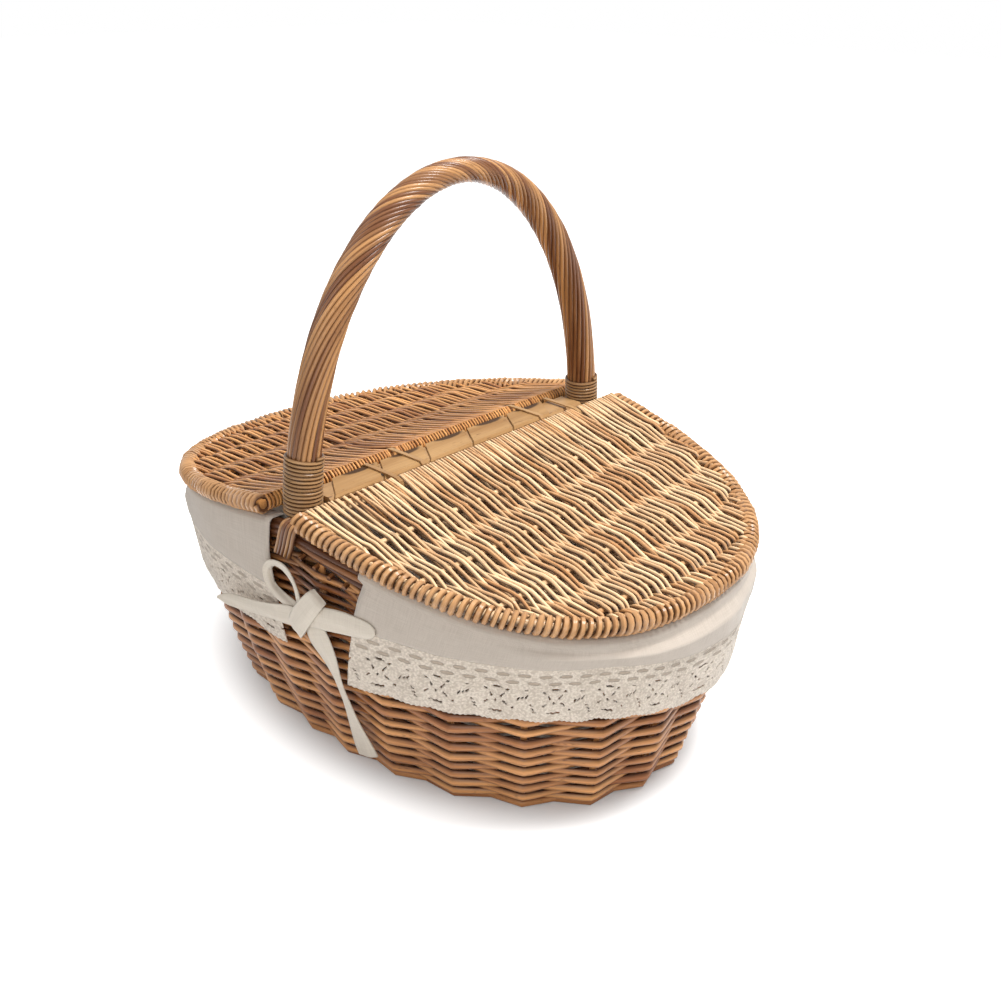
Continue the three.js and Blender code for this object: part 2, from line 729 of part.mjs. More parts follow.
// One weaver goes to and fro over and under the ribs, and round the rim rod or the hinge rod at
// each end of a pass.
function lidWeave() {
  const lift = ribRadius + seatGap + lidStrandThickness / 2;
  const rimReach = lidRodRadius + wrapGap + lidStrandThickness / 2;
  const hingeReach = hingeRodRadius + wrapGap + lidStrandThickness / 2;
  const quarters = [1, 0.5, 0, -0.5, -1];
  const path = [];
  const faces = [];
  const add = (point, face) => {
    path.push(point);
    faces.push(face.normalize());
  };
  for (let i = 0; i < lidPasses; i++) {
    const outward = i % 2 === 0;
    const y = passPlace(i);
    const { point: end, out: endOut } = lidRim(y);
    // Where the strand starts to lie over the rim rod
    const landing = end.x - (lidRodRadius + lidStrandWidth / 2) / endOut.x;
    const crossed = ribPlaces.filter((along) => along < landing - 1.6 * lidStrandWidth);
    const run = crossed.map((along, r) => [along, (r % 2 === (outward ? 0 : 1) ? 1 : -1) * lift]);
    run.push([landing, (outward ? 1 : -1) * rimReach]);
    if (!outward) run.reverse();
    const face = UP.clone().multiplyScalar(outward ? 1 : -1);
    run.forEach(([x, z]) => add(new THREE.Vector3(x, y, z), face.clone()));
    if (i === lidPasses - 1) break;
    quarters.forEach((level, q) => {
      const at = y + (passSpacing * q) / (quarters.length - 1);
      const angle = (level * TURN) / 4;
      const { point, out } = outward
        ? lidRim(at)
        : { point: new THREE.Vector3(0, at, 0), out: new THREE.Vector3(-1, 0, 0) };
      const radial = out.clone().multiplyScalar(Math.cos(angle)).addScaledVector(UP, Math.sin(angle));
      const corner = Math.abs(level) === 1 ? 1 : 1 / Math.cos(TURN / 16);
      const slant = outward ? 1 + 0.15 * (1 - out.x) : 1;
      const reach = (outward ? rimReach : hingeReach) * corner * slant;
      add(point.addScaledVector(radial, reach), radial.clone().multiplyScalar(outward ? 1 : -1));
    });
  }
  return strip(path, faces, lidStrandWidth, lidStrandThickness);
}

const hingeRodHalfLength = rimHalfWidth - lidRodRadius - 2 * seatGap;

function buildLid(group, side, prefix, material) {
  place(group, `${prefix}_frame`, lidFrame(), material);
  const hingeRod = new THREE.CylinderGeometry(
    hingeRodRadius, hingeRodRadius, 2 * hingeRodHalfLength, 8);
  place(group, `${prefix}_hinge_rod`, hingeRod, material);
  place(group, `${prefix}_weave`, lidWeave(), material);
  group.position.set(side * hingeAxisX, 0, hingeAxisZ);
  group.rotation.set(0, lidSlope, side > 0 ? 0 : Math.PI, "ZYX");
}
buildLid(rightLid, 1, "right_lid", strawWillow);
buildLid(leftLid, -1, "left_lid", honeyWillow);

// The loops sit where no strand passes round a hinge rod.
const loopPasses = { right: [4, 16], left: [6, 14] };
const loopPlace = (pass) => passPlace(pass) + passSpacing / 2;
place(basket, "right_hinge_loop_near", hingeLoop(1, loopPlace(loopPasses.right[0])), peeledCane);
place(basket, "right_hinge_loop_far", hingeLoop(1, loopPlace(loopPasses.right[1])), peeledCane);
place(basket, "left_hinge_loop_near", hingeLoop(-1, loopPlace(loopPasses.left[0])), peeledCane);
place(basket, "left_hinge_loop_far", hingeLoop(-1, loopPlace(loopPasses.left[1])), peeledCane);

// The lining

const wallOutside = weaverOutside + weaverThickness / 2 / Math.cos(Math.PI / 8) + seatGap;
const wallInside = -(weaverInside + weaverThickness / 2 + 2 * seatGap);
const liningTop = (angle) => borderFoot(angle) - seatGap;
const liningFoot = footHeight + seatGap + clothThickness;

// The lining bag: over the base, up inside the wall, and stepping in round the handle's legs.
function liningBag() {
  const legRoom = (x, height) => {
    const rise = Math.min(1, Math.max(0, (height - 15) / 30));
    return liningLegRoom * rise * Math.exp(-((x / liningLegWidth) ** 2));
  };
  const side = (angle, height, extra) => {
    const flat = wallPoint(angle, height, wallInside + extra);
    flat.y -= Math.sign(flat.y) * legRoom(flat.x, height);
    return flat;
  };
  const levels = [0, 0.12, 0.35, 0.6, 0.82, 1];
  const face = (extra, foot) => betweenAngles.map((angle) => {
    const middle = new THREE.Vector3(0, 0, foot);
    const top = liningTop(angle);
    const edge = side(angle, foot, extra);
    return [middle, edge.clone().multiplyScalar(0.96).setZ(foot),
      ...levels.slice(1).map((level) => side(angle, foot + (top - foot) * level, extra))];
  });
  return cloth(face(0, liningFoot - clothThickness), face(-clothThickness, liningFoot), true);
}
place(basket, "lining_bag", liningBag(), cotton);

// The angle at which the near wall, below the handle, has a given place along X.
function nearAngle(x) {
  let low = -TURN / 2;
  let high = 0;
  for (let i = 0; i < 40; i++) {
    const middle = (low + high) / 2;
    if (wallPoint(middle, rimHeight / 2, wallOutside).x < x) low = middle;
    else high = middle;
  }
  return (low + high) / 2;
}
const folds = (angle) => {
  const along = angle * (mouthHalfLength / 2 + mouthHalfWidth / 2);
  return cuffFoldDepth * (0.5 + 0.5 * Math.sin((TURN * along) / cuffFoldLength));
};

// The cuff turns over the border and hangs down outside. It leaves the near handle leg free
// between slitLow and slitHigh, and the far one between the same places turned half round.
// Their facets turn where the hoops' facets do, so that they lie evenly on them.
function cuffRows(section, slant = 0) {
  const first = nearAngle(slitHigh - slant);
  const last = nearAngle(slitLow) + TURN / 2;
  const turns = [-TURN, 0].flatMap((lap) => hoopAngles.map((angle) => angle + lap));
  turns.sort((a, b) => a - b);
  const partWay = (angle) => {
    const i = turns.findIndex((turn) => turn > angle);
    const share = (angle - turns[i - 1]) / (turns[i] - turns[i - 1]);
    const next = section(turns[i]);
    return section(turns[i - 1]).map((point, j) => point.lerp(next[j], share));
  };
  const between = turns.filter((turn) => turn > first && turn < last);
  return [partWay(first), ...between.map((turn) => section(turn)), partWay(last)];
}
const hemHeight = (angle) =>
  cuffHem - hemDroop * Math.exp(-((Math.sin(angle) / hemDroopReach) ** 2));
function cuff() {
  const inside = -(borderHalfThickness + seatGap);
  const outside = wallOutside;
  const section = (thick) => (angle) => {
    const top = rimTop(angle) + seatGap;
    const hang = (share) => top - 3 - (top - 3 - hemHeight(angle)) * share;
    const fold = folds(angle);
    return [
      wallPoint(angle, top - borderHeight + seatGap, inside - thick),
      wallPoint(angle, top - 1, inside - thick),
      wallPoint(angle, top + thick, inside * 0.8),
      wallPoint(angle, top + thick, -inside * 0.75),
      wallPoint(angle, hang(0), outside + thick + fold * 0.3),
      wallPoint(angle, hang(0.5), outside + thick + fold),
      wallPoint(angle, hang(1), outside + thick + fold * 0.6),
    ];
  };
  return cloth(cuffRows(section(clothThickness)), cuffRows(section(0)));
}
const rightCuff = cuff();
place(basket, "right_cuff", rightCuff, cotton);
place(basket, "left_cuff", halfTurn(rightCuff), cotton);

// Crochet lace sewn under the cuff's hem, with a scalloped lower edge.
function laceBand() {
  const section = (thick) => (angle) => {
    const along = angle * (mouthHalfLength / 2 + mouthHalfWidth / 2);
    const scallop = laceScallop * Math.cos((TURN * along) / laceScallopLength);
    const out = wallOutside + thick + folds(angle) * 0.6;
    return [
      wallPoint(angle, hemHeight(angle) - seatGap, out),
      wallPoint(angle, hemHeight(angle) - laceDepth / 2, out),
      wallPoint(angle, hemHeight(angle) - laceDepth + scallop, out),
    ];
  };
  return cloth(cuffRows(section(clothThickness), slitSlant / 2), cuffRows(section(0), slitSlant / 2));
}
const rightLace = laceBand();
place(basket, "right_lace", rightLace, lace);
place(basket, "left_lace", halfTurn(rightLace), lace);

// The ribbon bow that ties the two cuffs together over a slit
function bow() {
  const clear = wallOutside + clothThickness + cuffFoldDepth + ribbonThickness / 2 + seatGap;
  const on = (x, z, out = 0) => {
    const point = wallPoint(nearAngle(x), z, clear + out);
    return point.setX(x);
  };
  const knotHeight = cuffHem - knotDrop;
  const knot = on(22, knotHeight, 3);
  const away = new THREE.Vector3(0, -1, 0);
  const ribbon = (points, width = ribbonWidth) =>
    strip(points, points.map(() => away.clone()), width, ribbonThickness);
  const knotShape = new THREE.IcosahedronGeometry(1, 1)
    .scale(9, 4.5, 11).translate(...knot.toArray());
  const loopPath = [
    [0, 0, 0], [-12, 16, 1.5], [-20, 20, 2], [-24, 12, 5], [-14, 1, 6.5], [0, 0, 3],
  ].map(([x, z, out]) => knot.clone().add(new THREE.Vector3(x, -out, z)));
  return joined([
    knotShape,
    ribbon([knot, on(40, knotHeight + 1, 2), on(60, knotHeight + 3, 0.4)]),
    ribbon([knot, on(6, knotHeight - 6, 1.5), on(-14, knotHeight - 10, 0.4)]),
    ribbon([knot, on(30, knotHeight - 24, 1), on(38, knotHeight - 54, 0), on(47, knotHeight - 94, 0)]),
    ribbon([knot, on(-10, knotHeight - 15, 2.5), on(-40, knotHeight - 26, 3)], ribbonWidth * 0.8),
    strip(loopPath, loopPath.map(() => away.clone()), ribbonWidth * 0.7, ribbonThickness),
  ]);
}
const nearBow = bow();
place(basket, "near_bow", nearBow, cotton);
place(basket, "far_bow", halfTurn(nearBow), cotton);

export default basket;
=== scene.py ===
"""Looks of an oval willow picnic basket: its woven wall and lids, handle, lining, lace and ties."""

import logging
import math
from dataclasses import dataclass, field
from enum import Enum
from functools import lru_cache
from typing import Callable, Sequence

import bmesh
import bpy
import numpy as np
from mathutils import Matrix, Vector, noise


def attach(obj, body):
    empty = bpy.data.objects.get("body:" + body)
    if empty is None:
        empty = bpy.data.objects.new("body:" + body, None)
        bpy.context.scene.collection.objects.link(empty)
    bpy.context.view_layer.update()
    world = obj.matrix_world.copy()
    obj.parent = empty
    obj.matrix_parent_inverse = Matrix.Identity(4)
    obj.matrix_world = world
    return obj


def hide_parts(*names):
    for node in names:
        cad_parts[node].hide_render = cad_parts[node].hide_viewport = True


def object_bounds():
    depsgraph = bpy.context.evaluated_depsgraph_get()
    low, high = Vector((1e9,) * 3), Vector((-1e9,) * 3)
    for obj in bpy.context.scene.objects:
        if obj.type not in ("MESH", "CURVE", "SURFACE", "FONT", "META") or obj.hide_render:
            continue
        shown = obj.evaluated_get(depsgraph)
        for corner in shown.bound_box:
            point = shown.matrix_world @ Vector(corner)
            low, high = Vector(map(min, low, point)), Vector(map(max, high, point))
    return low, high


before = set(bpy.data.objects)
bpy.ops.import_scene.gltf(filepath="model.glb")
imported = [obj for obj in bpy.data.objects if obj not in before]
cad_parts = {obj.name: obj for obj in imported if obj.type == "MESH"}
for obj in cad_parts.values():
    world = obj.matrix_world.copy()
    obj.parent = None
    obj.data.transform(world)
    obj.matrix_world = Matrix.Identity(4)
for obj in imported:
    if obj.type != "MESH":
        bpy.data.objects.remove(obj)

CAD_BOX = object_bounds()
MM = 0.001
TURN = 2 * math.pi
SHARP_ANGLE = math.radians(50)
Triple = tuple[float, float, float]
log = logging.getLogger("basket")


class Body(Enum):
    """The bodies that move."""

    BASKET = "basket"
    RIGHT_LID = "right_lid"
    LEFT_LID = "left_lid"


class Twist(Enum):
    """How a rod's section is kept upright along its path."""

    FREE = "MINIMUM"
    UPRIGHT = "Z_UP"


# ---- shapes shared by the pieces, in millimetres


def run_lengths(points: np.ndarray) -> np.ndarray:
    """Return how far along a line each of its points lies."""
    steps = np.linalg.norm(np.diff(points, axis=0), axis=1)
    return np.concatenate([[0], np.cumsum(steps)])


def unit(directions: np.ndarray) -> np.ndarray:
    """Return a list of directions with each at length one."""
    return directions / np.linalg.norm(directions, axis=1)[:, None]


@dataclass(frozen=True)
class Wall:
    """The flaring oval that the stakes follow."""

    base_half_length: float = 170.4
    base_half_width: float = 112.0
    base_squareness: float = 2.2
    mouth_half_length: float = 190.2
    mouth_half_width: float = 137.7
    mouth_squareness: float = 2.5
    rim_height: float = 165.0
    rim_dip: float = 36.5
    rim_dip_power: float = 1.1
    foot_height: float = 7.0
    border_height: float = 13.5
    stakes: int = 24
    stake_phase: float = 0.02
    cuff_out: float = 6.6

    @staticmethod
    def oval(angle: float, length: float, width: float, squareness: float) -> tuple[float, float]:
        """Return a point of a squarish oval.

        Args:
            angle: Place round the oval, in radians.
            length: Half its length.
            width: Half its width.
            squareness: Its exponent, 2 for an ellipse.

        Returns:
            The point's X and Y.
        """
        c, s = math.cos(angle), math.sin(angle)
        return (
            length * math.copysign(abs(c) ** (2 / squareness), c),
            width * math.copysign(abs(s) ** (2 / squareness), s),
        )

    def rim_top(self, angle: float) -> float:
        """Return the height of the border's top at a place round the wall."""
        share = abs(self.oval(angle, 1, 1, self.mouth_squareness)[0])
        return self.rim_height - self.rim_dip * share**self.rim_dip_power

    def border_foot(self, angle: float) -> float:
        """Return the height of the border's underside at a place round the wall."""
        return self.rim_top(angle) - self.border_height

    def point(self, angle: float, height: float, out: float = 0.0) -> np.ndarray:
        """Return a point at a height on the wall, or out or in from it.

        Args:
            angle: Place round the wall, in radians.
            height: Height above the table.
            out: Distance outwards, or inwards if negative.

        Returns:
            The point.
        """
        share = min(max(height, 0.0) / self.rim_top(angle), 1.0)
        flare = 1 - (1 - share) ** 2
        x, y = self.oval(
            angle,
            self.base_half_length + (self.mouth_half_length - self.base_half_length) * flare + out,
            self.base_half_width + (self.mouth_half_width - self.base_half_width) * flare + out,
            self.base_squareness + (self.mouth_squareness - self.base_squareness) * share,
        )
        return np.array([x, y, height])

    def even_angles(self, count: int, phase: float = 0.0) -> list[float]:
        """Return evenly spaced places round the wall, from its +X end, always increasing.

        Args:
            count: How many.
            phase: Share of a space by which they are moved on.

        Returns:
            Their angles.
        """
        samples = 1440
        ring = np.array(
            [self.point(TURN * i / samples, self.rim_height / 2)[:2] for i in range(samples + 1)]
        )
        lengths = run_lengths(ring)
        places = (np.arange(count) + phase) / count * lengths[-1]
        laps = np.floor(places / lengths[-1])
        angles = np.interp(places - laps * lengths[-1], lengths, np.linspace(0, TURN, samples + 1))
        return list(angles + laps * TURN)

    def stake_angle(self, number: int) -> float:
        """Return the place of a stake, counted on over as many laps as wanted."""
        lap, rest = divmod(number, self.stakes)
        return stake_places(self)[rest] + lap * TURN

    def near_angle(self, x: float) -> float:
        """Return the place on the near long side, below the handle, that has a given X."""
        return float(np.interp(x, *near_places(self)))


@lru_cache
def stake_places(wall: Wall) -> list[float]:
    """Return the stakes' places round a wall."""
    return wall.even_angles(wall.stakes, 0.5 + wall.stake_phase)


@lru_cache
def near_places(wall: Wall) -> tuple[np.ndarray, np.ndarray]:
    """Return places along a wall's near side.

    Args:
        wall: The wall.

    Returns:
        Their X and their angles.
    """
    angles = np.linspace(-TURN / 2, 0, 2001)
    half_way = wall.rim_height / 2
    return np.array([wall.point(angle, half_way, wall.cuff_out)[0] for angle in angles]), angles


@dataclass(frozen=True)
class Arch:
    """The handle's arch, standing across the basket."""

    half_span: float = 128.0
    spring: float = 162.3
    top: float = 347.6

    def place(self, share: float) -> tuple[np.ndarray, np.ndarray]:
        """Return the arch's middle and outward side at a share of its half turn.

        Args:
            share: 0 at the near foot, 1 at the far foot.

        Returns:
            The middle and the direction out of the arch.
        """
        angle = math.pi * share
        rise = self.top - self.spring
        c, s = math.cos(angle), math.sin(angle)
        middle = np.array([0, -self.half_span * c, self.spring + rise * s])
        along = np.array([0, self.half_span * s, rise * c])
        along /= np.linalg.norm(along)
        return middle, np.cross([1.0, 0, 0], along)

    def share_at(self, height: float) -> float:
        """Return the share of the near leg at a height."""
        return math.asin((height - self.spring) / (self.top - self.spring)) / math.pi


WALL = Wall()
ARCH = Arch()


def chance(seed: int) -> np.random.Generator:
    """Return a dataclass field that holds a part's own run of chance."""
    return field(default_factory=lambda: np.random.default_rng(seed))


@dataclass
class Rod:
    """A willow rod.

    It has the points it runs through, its half thickness there, its own shade, the direction, or
    one at each point, in which its lit side faces, and how much painted light it gets there. The
    side away from that gets painted shade, or if both show, it is painted lit where the other is
    covered.
    """

    points: np.ndarray
    radius: np.ndarray | float
    shade: float
    closed: bool = False
    face: np.ndarray | tuple[float, float, float] = (0.0, 0.0, 1.0)
    light: np.ndarray | float = 1.0
    both: bool = False


def rod_piece(
    name: str,
    rods: Sequence[Rod],
    rounding: int = 2,
    width: float = 1.0,
    twist: Twist = Twist.FREE,
) -> bpy.types.Object:
    """Make one mesh of rods by sweeping a round or oval section along their paths.

    Each point of it gets its rod's shade and its place on the rod laid out straight.

    Args:
        name: The piece's name.
        rods: The rods.
        rounding: Section detail: 1 has six sides, 2 has eight.
        width: The section's width as a share of its height.
        twist: How the section is kept upright.

    Returns:
        The piece.
    """
    curve = bpy.data.curves.new(name, "CURVE")
    curve.dimensions = "3D"
    curve.twist_mode = twist.value
    section = None
    if width == 1.0:
        curve.bevel_depth = MM
        curve.bevel_resolution = rounding
    else:
        section = oval_section(name, width, 2 * rounding + 4)
        curve.bevel_mode = "OBJECT"
        curve.bevel_object = section
    for rod in rods:
        spline = curve.splines.new("POLY")
        count = len(rod.points)
        spline.points.add(count - 1)
        flat = np.ones((count, 4), np.float32)
        flat[:, :3] = rod.points * MM
        spline.points.foreach_set("co", flat.ravel())
        radii = np.broadcast_to(np.asarray(rod.radius, np.float32), (count,))
        spline.points.foreach_set("radius", np.ascontiguousarray(radii))
        spline.use_cyclic_u = rod.closed
    holder = add_object(name + "_path", curve)
    depsgraph = bpy.context.evaluated_depsgraph_get()
    mesh = bpy.data.meshes.new_from_object(holder.evaluated_get(depsgraph))
    mesh.name = name
    bpy.data.objects.remove(holder)
    if section:
        bpy.data.objects.remove(section)
    mark_fibres(mesh, rods)
    close_ends(mesh)
    mesh.materials.clear()
    piece = new_piece(name, mesh)
    mesh.set_sharp_from_angle(angle=SHARP_ANGLE)
    return piece


def oval_section(name: str, width: float, sides: int) -> bpy.types.Object:
    """Make the outline of an oval rod.

    Args:
        name: The name of the rods' piece.
        width: The section's width as a share of its height.
        sides: How many sides it has.

    Returns:
        The outline, one unit high.
    """
    outline = bpy.data.curves.new(name + "_section", "CURVE")
    outline.dimensions = "3D"
    spline = outline.splines.new("POLY")
    spline.points.add(sides - 1)
    for j in range(sides):
        angle = TURN * j / sides
        spline.points[j].co = (width * MM * math.cos(angle), MM * math.sin(angle), 0, 1)
    spline.use_cyclic_u = True
    return add_object(name + "_section", outline)


def add_object(name: str, data: bpy.types.ID) -> bpy.types.Object:
    """Put a mesh, curve, lamp or camera in the scene.

    Args:
        name: Its name there.
        data: The mesh, curve, lamp or camera.

    Returns:
        The object.
    """
    made = bpy.data.objects.new(name, data)
    bpy.context.scene.collection.objects.link(made)
    return made


def new_piece(name: str, mesh: bpy.types.Mesh) -> bpy.types.Object:
    """Put a smooth mesh in the scene under its name."""
    mesh.shade_smooth()
    return add_object(name, mesh)


def close_ends(mesh: bpy.types.Mesh) -> None:
    """Close the rods' cut ends with flat faces.

    Args:
        mesh: The swept mesh.
    """
    shape = bmesh.new()
    shape.from_mesh(mesh)
    bmesh.ops.holes_fill(shape, edges=[edge for edge in shape.edges if edge.is_boundary])
    bmesh.ops.recalc_face_normals(shape, faces=shape.faces)
    shape.to_mesh(mesh)
    shape.free()


def mark_fibres(mesh: bpy.types.Mesh, rods: Sequence[Rod]) -> None:
    """Store each point's place on its rod laid out straight, its rod's shade and its painted light.

    Args:
        mesh: The swept mesh, its points in the order of the rods.
        rods: The rods that it was swept from.
    """
    total = sum(len(rod.points) for rod in rods)
    sides = len(mesh.vertices) // total
    if sides * total != len(mesh.vertices):
        raise ValueError(f"{mesh.name}: {len(mesh.vertices)} points for {total} rings")
    fibre = np.zeros((len(mesh.vertices), 3), np.float32)
    shade = np.zeros(len(mesh.vertices), np.float32)
    round_angles = TURN * np.arange(sides) / sides
    rings = np.empty(len(mesh.vertices) * 3, np.float32)
    mesh.vertices.foreach_get("co", rings)
    rings = rings.reshape(total, sides, 3)
    offsets = rings - rings.mean(axis=1, keepdims=True)
    offsets /= np.maximum(np.linalg.norm(offsets, axis=2, keepdims=True), 1e-9)
    faces = np.vstack([np.broadcast_to(rod.face, rod.points.shape) for rod in rods])
    faces = unit(faces)
    light = np.concatenate([np.broadcast_to(rod.light, len(rod.points)) for rod in rods])[:, None]
    back = np.concatenate([np.full(len(rod.points), float(rod.both)) for rod in rods])[:, None]
    # Painted light, stored as the open attribute: a point is lit as far as it faces its rod's lit
    # side, times the light painted there; a rod that shows both sides is also painted lit on its
    # back where that light is low.
    facing = (offsets * faces[:, None, :]).sum(axis=2)
    behind = back * np.maximum(-facing, 0) * (1.36 - light)
    painted_light = (np.maximum(facing, 0) * light + behind).astype(np.float32)
    mesh.attributes.new("open", "FLOAT", "POINT").data.foreach_set("value", painted_light.ravel())
    start = 0
    for number, rod in enumerate(rods):
        count = len(rod.points)
        along = run_lengths(rod.points) + 137.0 * number
        radii = np.broadcast_to(np.asarray(rod.radius, float), (count,))
        block = slice(start, start + count * sides)
        fibre[block, 0] = np.repeat(along, sides) * MM
        fibre[block, 1] = (radii[:, None] * np.cos(round_angles)[None]).ravel() * MM
        fibre[block, 2] = (radii[:, None] * np.sin(round_angles)[None]).ravel() * MM
        shade[block] = rod.shade
        start += count * sides
    mesh.attributes.new("fibre", "FLOAT_VECTOR", "POINT").data.foreach_set("vector", fibre.ravel())
    mesh.attributes.new("shade", "FLOAT", "POINT").data.foreach_set("value", shade)


def cloth_piece(
    name: str,
    across: int,
    down: int,
    place: Callable[[float, float], np.ndarray],
    thickness: float,
    hole: Callable[[float, float], bool] | None = None,
    size: tuple[float, float] = (1.0, 1.0),
    closed: bool = False,
    smooth: int = 0,
) -> bpy.types.Object:
    """Make a sheet of cloth from a grid that is laid in place.

    Args:
        name: The piece's name.
        across: Cells along the sheet.
        down: Cells down the sheet.
        place: Gives the point, in millimetres, for shares along and down the sheet.
        thickness: Thickness of the cloth in millimetres.
        hole: Says whether the cell at these shares is left open.
        size: The sheet's width and height in metres, for its pattern.
        closed: Whether the sheet's two ends are sewn together.
        smooth: Levels of subdivision.

    Returns:
        The piece.
    """
    sheet = bmesh.new()
    pattern = sheet.loops.layers.uv.new("cloth")
    bmesh.ops.create_grid(sheet, x_segments=across, y_segments=down, size=0.5)
    for face in sheet.faces:
        for loop in face.loops:
            u, v = loop.vert.co.x + 0.5, loop.vert.co.y + 0.5
            loop[pattern].uv = (u * size[0], v * size[1])
    if hole:
        middles = [(face, face.calc_center_median()) for face in sheet.faces]
        gone = [face for face, middle in middles if hole(middle.x + 0.5, middle.y + 0.5)]
        bmesh.ops.delete(sheet, geom=gone, context="FACES")
    for vertex in sheet.verts:
        vertex.co = Vector(place(vertex.co.x + 0.5, vertex.co.y + 0.5)) * MM
    if closed:
        bmesh.ops.remove_doubles(sheet, verts=sheet.verts, dist=1e-6)
    mesh = bpy.data.meshes.new(name)
    sheet.to_mesh(mesh)
    sheet.free()
    piece = new_piece(name, mesh)
    if smooth:
        soft = piece.modifiers.new("Soft", "SUBSURF")
        soft.levels = soft.render_levels = smooth
    solid = piece.modifiers.new("Thickness", "SOLIDIFY")
    solid.thickness = thickness * MM
    solid.offset = 0
    return piece


def finish_piece(
    piece: bpy.types.Object,
    body: Body,
    material: bpy.types.Material,
    slot: str,
    *nodes: str,
) -> bpy.types.Object:
    """Dress a piece, put it on its body, hide the CAD nodes that it replaces and log its faces.

    Args:
        piece: The piece.
        body: The body that it moves with.
        material: Its material.
        slot: The record's material slot; not used.
        nodes: The CAD nodes that it replaces.

    Returns:
        The piece.
    """
    piece.data.materials.clear()
    piece.data.materials.append(material)
    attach(piece, body.value)
    if nodes:
        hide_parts(*nodes)
    count = len(piece.data.polygons)
    log.info("%s: %d faces on %s", piece.name, count, body.value)
    return piece


# ---- finishes


class Wiring:
    """Places nodes in a tree and joins them."""

    def __init__(self, tree: bpy.types.NodeTree) -> None:
        """Keep the tree."""
        self.tree = tree

    def node(
        self, kind: str, fed: dict[str | int, object] | None = None, **settings: object
    ) -> bpy.types.Node:
        """Add a node.

        Args:
            kind: Its type name without the Shader prefix.
            fed: What each of its inputs gets: another node's output, or a value of its own.
            settings: Properties to set.

        Returns:
            The node.
        """
        made = self.tree.nodes.new("ShaderNode" + kind)
        for key, value in settings.items():
            setattr(made, key, value)
        for label, value in (fed or {}).items():
            self.feed(made.inputs[label], value)
        return made

    def feed(self, socket: bpy.types.NodeSocket, value: object) -> None:
        """Join a socket to another, or set its own value.

        Args:
            socket: The input.
            value: The output that it is joined to, or its value.
        """
        if isinstance(value, bpy.types.NodeSocket):
            self.tree.links.new(value, socket)
        else:
            socket.default_value = value

    def mapped(self, vector: bpy.types.NodeSocket, **settings: Triple) -> bpy.types.NodeSocket:
        """Return a vector after a Mapping node with these settings."""
        return self.node("Mapping", {"Vector": vector, **settings}).outputs["Vector"]

    def speckle(
        self, vector: bpy.types.NodeSocket, scale: float, detail: float
    ) -> bpy.types.NodeSocket:
        """Return a noise of a given scale and detail."""
        fed = {"Scale": scale, "Detail": detail, "Vector": vector}
        return self.node("TexNoise", fed).outputs["Fac"]

    def ranged(
        self,
        value: bpy.types.NodeSocket,
        low: float,
        high: float,
        start: float = 0.0,
        end: float = 1.0,
        **settings: str,
    ) -> bpy.types.NodeSocket:
        """Return a value moved from one range into another, held at its ends.

        Args:
            value: The value.
            low: Where its range starts.
            high: Where its range ends.
            start: What the range's start becomes.
            end: What the range's end becomes.
            settings: The node's properties.

        Returns:
            The moved value.
        """
        limits = {"From Min": low, "From Max": high, "To Min": start, "To Max": end}
        return self.node("MapRange", {**limits, "Value": value}, **settings).outputs["Result"]

    def reckon(self, operation: str, *values: object) -> bpy.types.NodeSocket:
        """Return what an operation of the Math node makes of some values."""
        return self.node("Math", dict(enumerate(values)), operation=operation).outputs[0]

    def weighted(self, *parts: tuple[bpy.types.NodeSocket, float]) -> bpy.types.NodeSocket:
        """Return the sum of two values, each times its weight."""
        return self.reckon("ADD", *(self.reckon("MULTIPLY", *part) for part in parts))

    def blend(
        self, share: object, first: object, second: object, mode: str = "MIX"
    ) -> bpy.types.NodeSocket:
        """Return a mix of two colours, by the share of the second."""
        colors = {0: share, 6: first, 7: second}
        return self.node("Mix", colors, data_type="RGBA", blend_type=mode).outputs[2]

    def seen(self) -> bpy.types.NodeSocket:
        """Say which rays see the background: camera, glossy and transmission rays.

        Returns:
            1 for those rays and 0 for the others.
        """
        rays = self.node("LightPath").outputs
        direct = self.reckon("MAXIMUM", rays["Is Camera Ray"], rays["Is Glossy Ray"])
        return self.reckon("MAXIMUM", direct, rays["Is Transmission Ray"])


class Group:
    """A shader node group: its wiring, the sockets that it is given and those that it fills."""

    def __init__(self, name: str, inputs: dict[str, object], outputs: Sequence[str]) -> None:
        """Start the group.

        Args:
            name: Its name.
            inputs: Each input's default: None for a place, else a number or a colour.
            outputs: The outputs. Color is a colour and the others are numbers.
        """
        self.tree = bpy.data.node_groups.new(name, "ShaderNodeTree")
        kinds = {type(None): "Vector", float: "Float", tuple: "Color"}
        for label, default in {"Place": None, **inputs}.items():
            kind = "NodeSocket" + kinds[type(default)]
            socket = self.tree.interface.new_socket(name=label, in_out="INPUT", socket_type=kind)
            if default is not None:
                socket.default_value = default
        for label in outputs:
            kind = "NodeSocketColor" if label == "Color" else "NodeSocketFloat"
            self.tree.interface.new_socket(name=label, in_out="OUTPUT", socket_type=kind)
        self.given = self.tree.nodes.new("NodeGroupInput").outputs
        self.result = self.tree.nodes.new("NodeGroupOutput").inputs
        self.wiring = Wiring(self.tree)

    def put(self, **outputs: bpy.types.NodeSocket) -> bpy.types.NodeTree:
        """Fill the outputs.

        Args:
            outputs: What each of them gets.

        Returns:
            The finished group.
        """
        for label, value in outputs.items():
            self.wiring.feed(self.result[label], value)
        return self.tree


